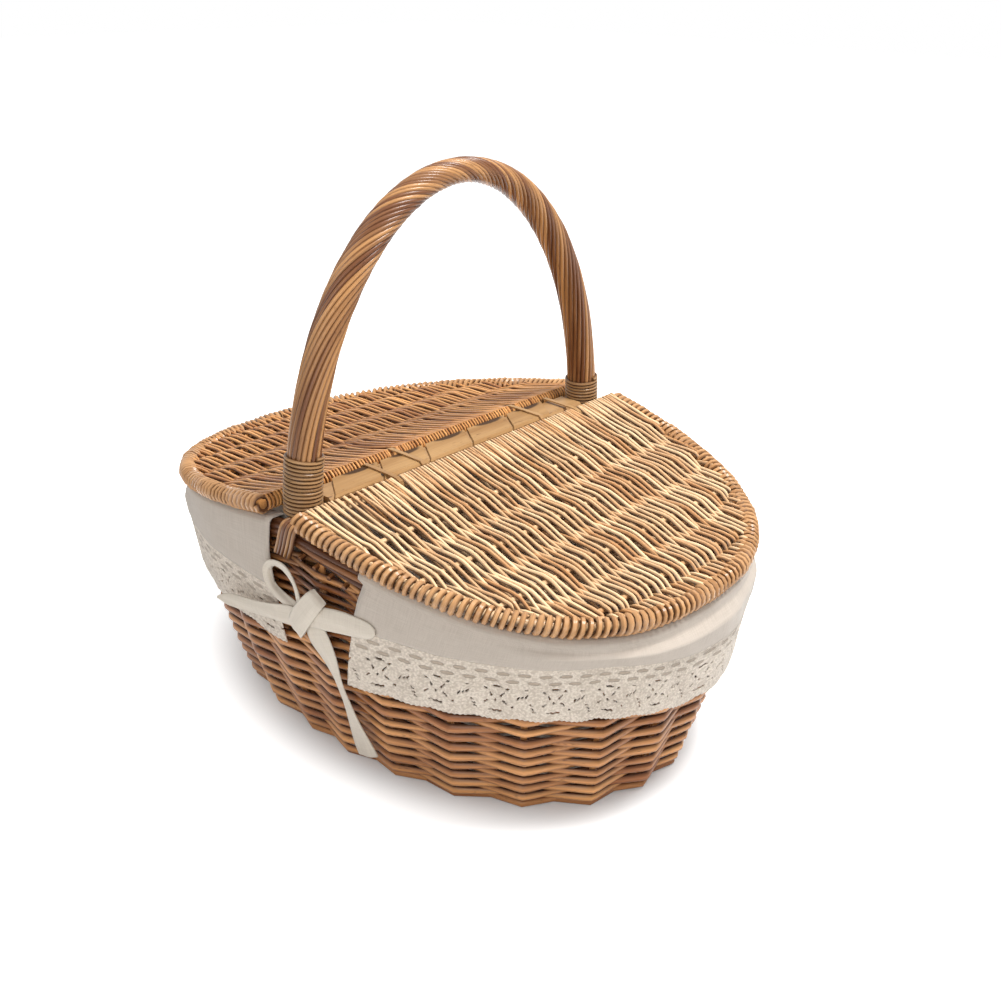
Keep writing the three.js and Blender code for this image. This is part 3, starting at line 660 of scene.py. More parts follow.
@lru_cache
def willow_group() -> bpy.types.NodeTree:
    """Build the group that draws willow.

    It has streaks along the rod, blotches, dark flecks, each rod's own shade, and painted shade in
    the crevices and on each rod's unlit side.

    Returns:
        The group.
    """
    group = Group(
        "willow rods",
        {
            "Shade": 0.5,
            "Pale": (0.8, 0.6, 0.4, 1),
            "Deep": (0.4, 0.2, 0.1, 1),
            "Dark": (0.15, 0.07, 0.03, 1),
            "Spread": 0.5,
            # Painted light and shade: each point's share of painted light, how dark its painted
            # shade gets, and the light level below which it starts.
            "Open": 1.0,
            "PaintedShade": 0.8,
            "Edge": 0.75,
        },
        ["Color", "Roughness", "Height"],
    )
    w, given = group.wiring, group.given
    streak = w.speckle(w.mapped(given["Place"], Scale=(30, 1400, 1400)), 1.0, 3.0)
    blotch = w.speckle(w.mapped(given["Place"], Scale=(14, 90, 90)), 1.0, 2.0)
    fleck = w.speckle(w.mapped(given["Place"], Scale=(160, 700, 700)), 1.0, 1.0)
    shade = w.reckon("MULTIPLY", w.reckon("SUBTRACT", given["Shade"], 0.5), given["Spread"])
    light = w.weighted((streak, 0.45), (blotch, 0.75))
    tone = w.ranged(w.reckon("ADD", light, shade), 0.35, 0.85)
    marks = w.reckon("MULTIPLY", w.ranged(fleck, 0.66, 0.78), 0.55)
    color = w.blend(marks, w.blend(tone, given["Deep"], given["Pale"]), given["Dark"])
    # Painted shade: the less painted light a point carries below that level, the more it is mixed
    # towards the dark colour.
    shaded = w.reckon("DIVIDE", w.reckon("SUBTRACT", given["Edge"], given["Open"]), given["Edge"])
    shaded = w.reckon("MULTIPLY", w.ranged(shaded, 0.0, 0.95), given["PaintedShade"])
    return group.put(
        Color=w.blend(shaded, color, given["Dark"]),
        Roughness=w.ranged(streak, 0.3, 0.7, 0.34, 0.52),
        Height=w.weighted((streak, 0.7), (blotch, 0.6)),
    )


class Dressing:
    """A node material and its shader, fed by one of the groups."""

    def __init__(self, name: str, group: bpy.types.NodeTree, fed: dict[str, object]) -> None:
        """Start the material.

        Args:
            name: Its name.
            group: The group that draws it.
            fed: What the group's inputs get. A colour may leave out its alpha.
        """
        self.material = bpy.data.materials.new(name)
        self.material.use_nodes = True
        self.wiring = Wiring(self.material.node_tree)
        self.shader = self.material.node_tree.nodes["Principled BSDF"]
        self.drawn = self.wiring.node("Group", node_tree=group)
        for label, value in fed.items():
            given = (*value, 1) if isinstance(value, tuple) else value
            self.wiring.feed(self.drawn.inputs[label], given)

    def put(self, bump: float, depth: float, **values: object) -> bpy.types.Material:
        """Join what the group draws to the shader.

        Args:
            bump: Strength of its bumps.
            depth: Their depth in metres.
            values: The shader's other inputs, with _ for each space.

        Returns:
            The material.
        """
        relief = {"Strength": bump, "Distance": depth, "Height": self.drawn.outputs["Height"]}
        values["Base_Color"] = self.drawn.outputs["Color"]
        values["Normal"] = self.wiring.node("Bump", relief).outputs["Normal"]
        for label, value in values.items():
            self.wiring.feed(self.shader.inputs[label.replace("_", " ")], value)
        return self.material


@dataclass(frozen=True)
class WillowFinish:
    """A willow's colours and sheen."""

    name: str
    pale: Triple
    deep: Triple
    # The dark colour serves both the flecks and the painted shade.
    dark: Triple = (0.05, 0.014, 0.006)
    spread: float = 0.5
    # How dark the painted shade in crevices and on unlit sides gets, and the painted light below
    # which it starts.
    painted_shade: float = 0.92
    edge: float = 0.75
    coat: float = 0.15
    specular: float = 0.22
    bump: float = 0.25

    def material(self, grain: Triple | None = None) -> bpy.types.Material:
        """Build the material.

        Args:
            grain: For a CAD node, which axis its grain runs along; None for swept rods, which
                carry their own places and shades.

        Returns:
            The material.
        """
        label = self.name if grain is None else f"{self.name} {grain}"
        if label in bpy.data.materials:
            return bpy.data.materials[label]
        fed = {
            "Pale": self.pale,
            "Deep": self.deep,
            "Dark": self.dark,
            "Spread": self.spread,
            "PaintedShade": self.painted_shade,
            "Edge": self.edge,
        }
        dressing = Dressing(label, willow_group(), fed)
        w, into = dressing.wiring, dressing.drawn.inputs
        if grain is None:
            for socket, name, output in (
                ("Place", "fibre", "Vector"),
                ("Shade", "shade", "Fac"),
                ("Open", "open", "Fac"),
            ):
                w.feed(into[socket], w.node("Attribute", attribute_name=name).outputs[output])
        else:
            w.feed(into["Place"], w.mapped(w.node("TexCoord").outputs["Object"], Rotation=grain))
        return dressing.put(
            self.bump,
            0.0004,
            Roughness=dressing.drawn.outputs["Roughness"],
            Coat_Weight=self.coat,
            Coat_Roughness=0.2,
            Specular_IOR_Level=self.specular,
        )


ALONG_X = (0.0, 0.0, 0.0)
ALONG_Y = (0.0, 0.0, -math.pi / 2)
ALONG_Z = (0.0, math.pi / 2, 0.0)

BROWN = WillowFinish(
    "brown willow", (0.84, 0.4, 0.145), (0.38, 0.135, 0.042), painted_shade=0.98, edge=0.985, coat=0.25
)
FOOT_BROWN = WillowFinish("foot willow", (0.56, 0.25, 0.09), (0.25, 0.09, 0.027), spread=0.4)
# The border's colours are well darker than the wall's: its own colour with painted shade, where the
# lids overhang the border.
BORDER = WillowFinish("border willow", (0.27, 0.11, 0.038), (0.085, 0.028, 0.01), spread=0.6)
STRAW = WillowFinish(
    "straw willow", (0.95, 0.68, 0.4), (0.56, 0.28, 0.11), spread=0.45, edge=0.64, coat=0.4
)
RIM = WillowFinish(
    "rim willow", (0.68, 0.385, 0.175), (0.36, 0.155, 0.05), spread=0.4, edge=0.85, coat=0.4
)
HONEY = WillowFinish(
    "honey willow", (0.86, 0.43, 0.146), (0.44, 0.17, 0.05), spread=0.4, edge=0.68, coat=0.2
)
HANDLE = WillowFinish(
    "handle willow", (0.54, 0.27, 0.1), (0.17, 0.06, 0.018), spread=0.65, edge=0.98, coat=0.4
)
CANE = WillowFinish("split cane", (0.47, 0.275, 0.125), (0.28, 0.145, 0.06), spread=0.4, edge=0.97)
PEEL = WillowFinish("willow peel", (0.5, 0.3, 0.135), (0.3, 0.155, 0.058), spread=0.4, coat=0.0)


def cloth_group(name: str) -> Group:
    """Start a group that draws cotton, with the two colours of its cloth."""
    colors = {"Cloth": (0.7, 0.66, 0.6, 1), "Slub": (0.6, 0.55, 0.48, 1)}
    return Group(name, {**colors, "Threads": 1800.0}, ["Color", "Height"])


@lru_cache
def weave_group() -> bpy.types.NodeTree:
    """Build the group that draws plain woven cotton: threads, slubs and soft soiling.

    Returns:
        The group.
    """
    group = cloth_group("woven cotton")
    w, given = group.wiring, group.given
    parts = w.node("SeparateXYZ", {0: given["Place"]}).outputs
    waves = [w.reckon("SINE", w.reckon("MULTIPLY", parts[i], given["Threads"])) for i in (0, 1)]
    slub_long = w.speckle(w.mapped(given["Place"], Scale=(60, 1500, 60)), 1.0, 2.0)
    slub_down = w.speckle(w.mapped(given["Place"], Scale=(1500, 60, 60)), 1.0, 2.0)
    slubs = w.ranged(w.reckon("ADD", slub_long, slub_down), 0.8, 1.25)
    tone = w.weighted((slubs, 0.5), (w.speckle(given["Place"], 14.0, 3.0), 0.6))
    return group.put(
        Color=w.blend(w.ranged(tone, 0.3, 0.95), given["Cloth"], given["Slub"]),
        Height=w.weighted((w.reckon("MULTIPLY", *waves), 0.25), (slubs, 0.6)),
    )


@lru_cache
def lace_group() -> bpy.types.NodeTree:
    """Build the group that draws crochet lace: looped stitches and two rows of eyelets, drawn as
    darker ovals of painted shade instead of holes.

    Returns:
        The group.
    """
    group = cloth_group("crochet lace")
    w, given = group.wiring, group.given
    parts = w.node("SeparateXYZ", {0: given["Place"]}).outputs
    half_pitch, half_length, half_width = 0.0062, 0.0037, 0.00105
    rows = []
    for down, shift in ((0.0045, 0.0), (0.0092, half_pitch)):
        across = w.reckon("WRAP", w.reckon("ADD", parts[0], shift), half_pitch, -half_pitch)
        along = w.reckon("DIVIDE", across, half_length)
        low = w.reckon("DIVIDE", w.reckon("SUBTRACT", parts[1], down), half_width)
        powers = [w.reckon("POWER", w.reckon("ABSOLUTE", part), 2.6) for part in (along, low)]
        rows.append(w.ranged(w.reckon("ADD", *powers), 0.7, 1.25, 1.0, 0.0))
    eyelets = w.reckon("MAXIMUM", *rows)
    stitches = {"Scale": 1.0, "Vector": w.mapped(given["Place"], Scale=(760, 900, 760))}
    loops = w.node("TexVoronoi", stitches, feature="SMOOTH_F1").outputs["Distance"]
    knots = w.ranged(loops, 0.1, 0.62, 1.0, 0.0)
    tone = w.weighted((knots, -0.75), (w.speckle(given["Place"], 60.0, 3.0), 0.7))
    plain = w.blend(w.ranged(tone, -0.3, 0.5), given["Cloth"], given["Slub"])
    # Painted shade: the eyelets are darker sunken ovals, standing in for the shaded cloth seen
    # through real holes.
    painted_dim = w.blend(1.0, given["Slub"], (0.86, 0.83, 0.8, 1), "MULTIPLY")
    return group.put(
        Color=w.blend(eyelets, plain, painted_dim), Height=w.weighted((knots, 0.8), (eyelets, -2.2))
    )


@dataclass(frozen=True)
class ClothFinish:
    """A cloth's colours and the fineness of its threads."""

    name: str
    cloth: Triple
    slub: Triple
    threads: float = 5000.0
    bump: float = 0.35

    def material(self, group: bpy.types.NodeTree | None = None) -> bpy.types.Material:
        """Build the material, which follows the cloth's own pattern map.

        Args:
            group: The group that draws it, plain weave if none is given.

        Returns:
            The material.
        """
        if self.name in bpy.data.materials:
            return bpy.data.materials[self.name]
        fed = {"Cloth": self.cloth, "Slub": self.slub, "Threads": self.threads}
        dressing = Dressing(self.name, group or weave_group(), fed)
        w = dressing.wiring
        w.feed(dressing.drawn.inputs["Place"], w.node("UVMap", uv_map="cloth").outputs["UV"])
        return dressing.put(
            self.bump, 0.0003, Roughness=0.92, Sheen_Weight=0.25, Sheen_Roughness=0.5
        )


COTTON = ClothFinish("natural cotton", (0.575, 0.505, 0.435), (0.49, 0.425, 0.36))
TIES = ClothFinish("cotton ties", (0.74, 0.665, 0.565), (0.66, 0.585, 0.485))
LACE = ClothFinish("cotton lace", (0.8, 0.71, 0.605), (0.52, 0.44, 0.36), bump=1.0)


# ---- the basket's parts


@dataclass
class WovenWall:
    """The wall's two spiral weavers, its foot and the stakes that they pass."""

    turns: int = 18
    level_turns: float = 11.0
    level_pitch: float = 8.2
    outside: float = 4.7
    inside: float = 4.4
    half_height: float = 2.85
    half_thickness: float = 1.75
    rod_stakes: int = 16
    lowest: float = 3.7
    foot_lift: float = 0.3
    corner_bend: float = 0.015
    foot_radius: float = 2.4
    foot_outside: float = 4.5
    foot_inside: float = 4.2
    thickness_spread: float = 0.07
    butt: float = 1.08
    taper: float = 0.2
    slim_between: float = 0.8
    slim_beside: float = 0.97
    sway: float = 0.35
    side_weight: float = 1.7
    # Painted shade: the light painted on a rod where it lies inside the stakes, and the painted
    # shade under a lid's end between the cuffs.
    inner_light: float = 0.45
    shelter_depth: float = 0.42
    shelter_reach: float = 38.0
    shelter_start: float = 100.0
    shelter_rise: float = 30.0
    rng: np.random.Generator = chance(3)

    def height(self, row: float, angle: float) -> tuple[float, float]:
        """Return a row's height and its share of the full pitch at a place round the wall.

        Rows lie level up to the cuffs; the rest share out what is left below the border.

        Args:
            row: Turns climbed.
            angle: Place round the wall.

        Returns:
            The height and the pitch as a share of the full pitch.
        """
        low = WALL.foot_height + self.foot_lift
        if row <= self.level_turns:
            return max(low + self.level_pitch * row, self.lowest), 1.0
        start = low + self.level_pitch * self.level_turns
        pitch = (WALL.border_foot(angle) - 0.5 - start) / (self.turns + 0.7 - self.level_turns)
        return start + pitch * (row - self.level_turns), min(1.0, pitch / self.level_pitch)

    def shelter(self, point: np.ndarray) -> float:
        """Return the share of painted light left between the cuffs, with painted shade where a
        lid's end hangs over.
        """
        above = min(max((point[2] - self.shelter_start) / self.shelter_rise, 0), 1)
        return 1 - self.shelter_depth * math.exp(-((point[0] / self.shelter_reach) ** 2)) * above

    @property
    def first_stake(self) -> int:
        """Return the stake at which the weavers start, a lap below the foot."""
        return WALL.stakes // 4 - WALL.stakes

    def corner(self, stake: int, offset: float, outside: bool) -> tuple[np.ndarray, float]:
        """Return where a weaver turns at a stake.

        Args:
            stake: The stake.
            offset: The weaver's start, in turns.
            outside: Whether it passes the stake on the outside.

        Returns:
            The point, and the weaver's size there as a share of its full size.
        """
        angle = WALL.stake_angle(stake)
        height, share = self.height((stake - self.first_stake) / WALL.stakes - 1 + offset, angle)
        out = self.outside if outside else -self.inside
        return WALL.point(angle, height, out), share

    def strand(self, first: int, last: int, outside_on: int, offset: float) -> Rod:
        """Return one rod that runs between two stakes, bending at each that it passes.

        Args:
            first: The stake where it starts.
            last: The stake where it ends.
            outside_on: Parity of the stakes that it passes on the outside.
            offset: The weaver's start, in turns.

        Returns:
            The rod.
        """
        thick = self.rng.uniform(1 - self.thickness_spread, 1 + self.thickness_spread)
        corners = [
            self.corner(stake, offset, stake % 2 == outside_on) for stake in range(first, last + 1)
        ]
        sway = self.rng.normal(0, self.sway, len(corners))
        points, sizes, faces, light = [], [], [], []
        for i, (here, share) in enumerate(corners):
            outside = (first + i) % 2 == outside_on
            here = here + np.array([0, 0, sway[i] * share])
            before = corners[max(i - 1, 0)][0]
            after = corners[min(i + 1, len(corners) - 1)][0]
            points.append(here * (1 - 2 * self.corner_bend) + (before + after) * self.corner_bend)
            taper = self.butt - self.taper * i / len(corners)
            sizes.append(self.half_height * share * thick * taper)
            # Painted light: the lit side faces outwards; the rod is painted darker inside the
            # stakes and under a lid's end.
            faces.append([here[0], here[1] * self.side_weight, 0])
            light.append((1.0 if outside else self.inner_light) * self.shelter(here))
            if i < len(corners) - 1:
                ahead = corners[i + 1][0] + np.array([0, 0, sway[i + 1] * share])
                for t in (0.1, 0.5, 0.9):
                    points.append(here + (ahead - here) * t)
                    slim = self.slim_between if t == 0.5 else self.slim_beside
                    sizes.append(self.half_height * share * thick * taper * slim)
                    faces.append([here[0], here[1] * self.side_weight, 0])
                    # Painted shade: darker as the rod goes in behind the next stake.
                    away = t if outside else 1 - t
                    painted_dim = 0.5 * max(away - 0.3, 0.0) / 0.7
                    light.append((1.0 - painted_dim) * self.shelter(points[-1]))
        line, sizes, faces, light = (np.array(part) for part in (points, sizes, faces, light))
        return Rod(line, sizes, self.rng.uniform(), face=faces, light=light)

    def weaver(self, offset: float, outside_on: int) -> list[Rod]:
        """Return a spiral weaver as the rods that were laid in one after another.

        Args:
            offset: Its start, in turns.
            outside_on: Parity of the stakes that it passes on the outside.

        Returns:
            The rods.
        """
        rods, at = [], self.first_stake
        end = at + (self.turns + 1) * WALL.stakes
        while at < end:
            last = min(end, at + self.rod_stakes + 2 * int(self.rng.integers(-2, 3)))
            last += (last + outside_on + 1) % 2
            rods.append(self.strand(at, last, outside_on, offset))
            at = last
        return rods

    def foot(self) -> list[Rod]:
        """Return the two rods of the foot, which the basket stands on.

        Returns:
            The rods.
        """
        rods = []
        for height, outside_on in ((2.5, 0), (2.9, 1)):
            points = []
            for stake in range(WALL.stakes):
                corner = []
                for n in (stake, stake + 1):
                    out = self.foot_outside if n % 2 == outside_on else -self.foot_inside
                    corner.append(WALL.point(WALL.stake_angle(n), 0, out))
                for t in (0.0, 0.1, 0.5, 0.9):
                    point = corner[0] + (corner[1] - corner[0]) * t
                    point[2] = height
                    points.append(point)
            line = np.array(points)
            # The lit side faces outwards, so the inner side of the foot rods gets painted shade.
            faces = line * [1, self.side_weight, 0]
            rods.append(Rod(line, self.foot_radius, self.rng.uniform(), True, faces))
        return rods

    def build(self) -> None:
        """Build the wall's pieces."""
        brown = BROWN.material()
        for name, offset, outside_on in (("first", 0.25, 0), ("second", 0.75, 1)):
            piece = rod_piece(
                f"wall_weaver_{name}",
                self.weaver(offset, outside_on),
                width=self.half_thickness / self.half_height,
                twist=Twist.UPRIGHT,
            )
            finish_piece(piece, Body.BASKET, brown, "brown_willow", f"weaver_{name}")
        foot = rod_piece("foot_rods", self.foot(), width=0.8, twist=Twist.UPRIGHT)
        finish_piece(foot, Body.BASKET, FOOT_BROWN.material(), "brown_willow", "foot_hoop")
        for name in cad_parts:
            if name.startswith("stake_"):
                dress(name, BROWN.material(ALONG_Z))


def dress(node: str, material: bpy.types.Material) -> None:
    """Give a CAD node that stays its material.

    Args:
        node: The node.
        material: Its material.
    """
    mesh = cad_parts[node].data
    mesh.materials.clear()
    mesh.materials.append(material)


@dataclass
class Border:
    """The rolled border: long rods that wind slowly round each other on top of the wall."""

    rods: int = 8
    windings: float = 3.0
    half_width: float = 5.3
    half_height: float = 6.75
    rod_radius: float = 2.15
    stake_ends: int = 96
    end_radius: float = 1.6
    steps: int = 144
    rng: np.random.Generator = chance(11)

    def path(self, number: int) -> Rod:
        """Return one of the border's rods.

        Args:
            number: Which one.

        Returns:
            The rod.
        """
        points, faces = [], []
        for i, angle in enumerate(WALL.even_angles(self.steps)):
            turn = TURN * (number / self.rods + self.windings * i / self.steps)
            out = (self.half_width - self.rod_radius) * math.cos(turn)
            down = self.half_height - (self.half_height - self.rod_radius) * math.sin(turn)
            points.append(WALL.point(angle, WALL.rim_top(angle) - down, out))
            # The lit side faces out from the border's middle, so the crevices between its rods get
            # painted shade.
            faces.append(points[-1] - WALL.point(angle, WALL.rim_top(angle) - self.half_height))
        wobble = self.rod_radius * (1 + 0.06 * np.sin(np.arange(self.steps) * 0.37 + number))
        return Rod(np.array(points), wobble, self.rng.uniform(), True, np.array(faces))

    def ends(self) -> list[Rod]:
        """Return the cut ends of the stakes, which show in a row under the border.

        Returns:
            The ends.
        """
        found = []
        for angle in WALL.even_angles(self.stake_ends):
            foot = WALL.border_foot(angle)
            inner = WALL.point(angle, foot - 2.2, 1.5)
            outer = WALL.point(angle, foot - 2.9, 5.4 + self.rng.uniform(-0.4, 0.4))
            found.append(Rod(np.array([inner, outer]), self.end_radius, self.rng.uniform(0.6, 1.2)))
        return found

    def build(self) -> None:
        """Build the border and the stakes' cut ends."""
        rods = [self.path(number) for number in range(self.rods)]
        piece = rod_piece("border_rods", rods + self.ends())
        finish_piece(piece, Body.BASKET, BORDER.material(), "honey_willow", "rim_border")


@dataclass
class Base:
    """The woven base and the sticks under it."""

    half_length: float = 162.5
    half_width: float = 104.0
    rings: int = 24
    rod_radius: float = 1.95
    height: float = 4.9
    waves: int = 6
    wave_height: float = 0.35
    steps: int = 72
    rng: np.random.Generator = chance(5)

    def build(self) -> None:
        """Build the base's rings and dress its sticks."""
        rods = []
        length, width = self.half_length, self.half_width
        for ring in range(self.rings):
            inset = width / self.rings * ring
            squareness = WALL.base_squareness - 0.2 * ring / self.rings
            points = []
            for i in range(self.steps):
                angle = TURN * i / self.steps
                x, y = WALL.oval(angle, length - inset, width - inset, squareness)
                wave = self.wave_height * math.sin(self.waves * angle + math.pi * ring)
                points.append([x, y, self.height + wave])
            line, shade = np.array(points), self.rng.uniform()
            # The lit side faces down, so the tops of the rings get painted shade.
            rods.append(Rod(line, self.rod_radius, shade, True, (0, 0, -1)))
        middle = np.array([[(length - width) * end, 0, self.height] for end in (-1, 0, 1)])
        rods.append(Rod(middle, self.rod_radius, 0.5))
        piece = rod_piece("base_rings", rods, rounding=1)
        finish_piece(piece, Body.BASKET, HONEY.material(), "honey_willow", "base_weave")
        dress("base_sticks", BROWN.material(ALONG_X))


@dataclass
class Handle:
    """The arched handle: rods twisted round a core, whipped and lashed at its legs."""

    radius: float = 9.9
    rods: int = 19
    rod_radius: float = 1.5
    flattening: float = 0.27
    turns: float = 3.1
    foot: float = 167.4
    steps: int = 132
    cane_radius: float = 1.05
    cane_reach: float = 0.9
    cane_start: float = 1.2
    cane_steps: int = 20
    lashing_rods: int = 5
    lashing_pitch: float = 2.75
    lashing_radius: float = 1.45
    # The lashing's way over the border: distance along it, height and distance out of the wall.
    lashing_route: tuple[Triple, ...] = (
        (7.5, 166.9, -3.0),
        (7.0, 166.8, 3.2),
        (6.2, 164.9, 6.2),
        (4.6, 160.0, 7.0),
        (2.2, 152.5, 7.1),
        (-0.5, 145.5, 7.2),
    )
    # Each leg's whipping: its name, whether it is the far one, its turns and their distance.
    whippings: tuple[tuple[str, bool, int, float], ...] = (
        ("near", False, 15, 2.25),
        ("far", True, 9, 2.35),
    )
    rng: np.random.Generator = chance(7)

    def twisted(self, number: int) -> Rod:
        """Return one of the twisted rods.

        Args:
            number: Which one.

        Returns:
            The rod.
        """
        start = ARCH.share_at(self.foot)
        points, sizes, faces = [], [], []
        lift = self.rng.uniform(-0.25, 0.25)
        for i in range(self.steps + 1):
            along = i / self.steps
            middle, out = ARCH.place(start + (1 - 2 * start) * along)
            eased = along - math.sin(TURN * along) / TURN * 0.8
            turn = TURN * (number / self.rods - self.turns * eased)
            reach = self.radius - self.rod_radius + lift * math.sin(TURN * along * 3 + number)
            flat = 1 - self.flattening * math.exp(-(((along - 0.5) / 0.17) ** 2))
            # The lit side faces out from the core, so the grooves between the rods get painted
            # shade.
            faces.append(np.array([math.cos(turn), 0, 0]) + out * math.sin(turn) * flat)
            points.append(middle + reach * faces[-1])
            sizes.append(self.rod_radius * (1.12 - 0.12 * math.sin(math.pi * along)))
        return Rod(np.array(points), np.array(sizes), self.rng.uniform(), face=np.array(faces))

    def whipping(self, far: bool, turns: int, pitch: float) -> Rod:
        """Return the cane wound round a leg.

        Args:
            far: Whether it is the far leg.
            turns: How many turns.
            pitch: The distance between them.

        Returns:
            The cane.
        """
        points, faces = [], []
        for k in range(turns * self.cane_steps + 1):
            height = self.foot + self.cane_start + pitch * k / self.cane_steps
            share = ARCH.share_at(height)
            middle, out = ARCH.place(1 - share if far else share)
            turn = TURN * k / self.cane_steps
            side = -1 if far else 1
            around = np.array([math.cos(turn), 0, 0]) + side * out * math.sin(turn)
            # The cane's lit side faces out from the leg; its sides get painted shade.
            faces.append(around)
            points.append(middle + around * (self.radius + self.cane_reach))
        return Rod(np.array(points), self.cane_radius, 0.6, face=np.array(faces))

    def lashing(self, side: int) -> list[Rod]:
        """Return the rods lashed from a leg over the border.

        Args:
            side: -1 near, 1 far.

        Returns:
            The rods.
        """
        rods = []
        wall = abs(WALL.point(-TURN / 4, WALL.rim_height - 7)[1])
        for k in range(self.lashing_rods):
            across = (k - self.lashing_rods // 2) * self.lashing_pitch * (1 + 0.04 * k)
            points = [
                np.array([-side * (x + across), side * (wall + out), z])
                for x, z, out in self.lashing_route
            ]
            line, shade = smooth_path(points, 5), self.rng.uniform()
            # The lit side faces out and up; the rest of each rod gets painted shade.
            rods.append(Rod(line, self.lashing_radius, shade, face=(0, side, 0.6)))
        return rods

    def build(self) -> None:
        """Build the handle's pieces."""
        twisted = rod_piece("handle_rods", [self.twisted(n) for n in range(self.rods)])
        finish_piece(twisted, Body.BASKET, HANDLE.material(), "handle_willow", "handle_twist")
        for name, far, turns, pitch in self.whippings:
            cane = self.whipping(far, turns, pitch)
            piece = rod_piece(f"{name}_whipping_cane", [cane], rounding=1)
            finish_piece(piece, Body.BASKET, CANE.material(), "peeled_cane", f"{name}_whipping")
        for name, side in (("near", -1), ("far", 1)):
            piece = rod_piece(f"{name}_lashing_rods", self.lashing(side))
            finish_piece(piece, Body.BASKET, HANDLE.material(), "handle_willow", f"{name}_lashing")
        dress("handle_core", HANDLE.material(ALONG_Z))


def smooth_path(points: Sequence[np.ndarray], per_span: int) -> np.ndarray:
    """Return a smooth path through some points.

    Args:
        points: The points.
        per_span: New points in each span.

    Returns:
        The finer path.
    """
    given = np.array(points, float)
    padded = np.vstack([2 * given[0] - given[1], given, 2 * given[-1] - given[-2]])
    path = []
    for i in range(len(given) - 1):
        a, b, c, d = padded[i : i + 4]
        square, cube = 2 * a - 5 * b + 4 * c - d, 3 * b - a - 3 * c + d
        for t in np.arange(per_span) / per_span:
            path.append(0.5 * (2 * b + (c - a) * t + square * t**2 + cube * t**3))
    path.append(given[-1])
    return np.array(path)


@dataclass
class CentreBar:
    """The bar between the lids, wound with wide willow peel, and the cane loops of the hinges."""

    # The painted shadows beside the peel's edges: their pitch, half length, half width, offset and
    # colour.
    gap_shadow_pitch: float = 38.9
    gap_shadow_half_length: float = 13.5
    gap_shadow_half_width: float = 4.4
    gap_shadow_offset: float = 9.3
    gap_shadow_color: Triple = (0.03, 0.012, 0.006)

    def bound_peel(self) -> bpy.types.Material:
        """Build the peel's material, with a painted shadow on one side of each turn: a dark oval
        that stands for the shaded gap beside its curved edge.

        Returns:
            The material.
        """
        material = PEEL.material(ALONG_Y).copy()
        material.name = "bound peel"
        w = Wiring(material.node_tree)
        into = material.node_tree.nodes["Principled BSDF"].inputs
        peel = into["Base Color"].links[0].from_socket
        # Painted shadow: a dark oval on one side of each turn of peel.
        parts = w.node("SeparateXYZ", {0: w.node("TexCoord").outputs["Object"]}).outputs
        half_pitch = self.gap_shadow_pitch * MM / 2
        along = w.reckon("WRAP", parts[1], half_pitch, -half_pitch)
        far = w.reckon("DIVIDE", along, self.gap_shadow_half_length * MM)
        beside = w.reckon("ADD", parts[0], self.gap_shadow_offset * MM)
        off = w.reckon("DIVIDE", beside, self.gap_shadow_half_width * MM)
        away = w.reckon("ADD", *(w.reckon("MULTIPLY", part, part) for part in (far, off)))
        gap_shadow = w.ranged(away, 0.6, 1.1, 0.9, 0.0)
        w.feed(into["Base Color"], w.blend(gap_shadow, peel, (*self.gap_shadow_color, 1)))
        into["Specular IOR Level"].default_value = 0.05
        return material

    def build(self) -> None:
        """Dress the bar's CAD nodes."""
        dress("centre_bar", PEEL.material(ALONG_Y))
        dress("bar_binding", self.bound_peel())
        for side in ("right", "left"):
            for place in ("near", "far"):
                dress(f"{side}_hinge_loop_{place}", PEEL.material(ALONG_X))


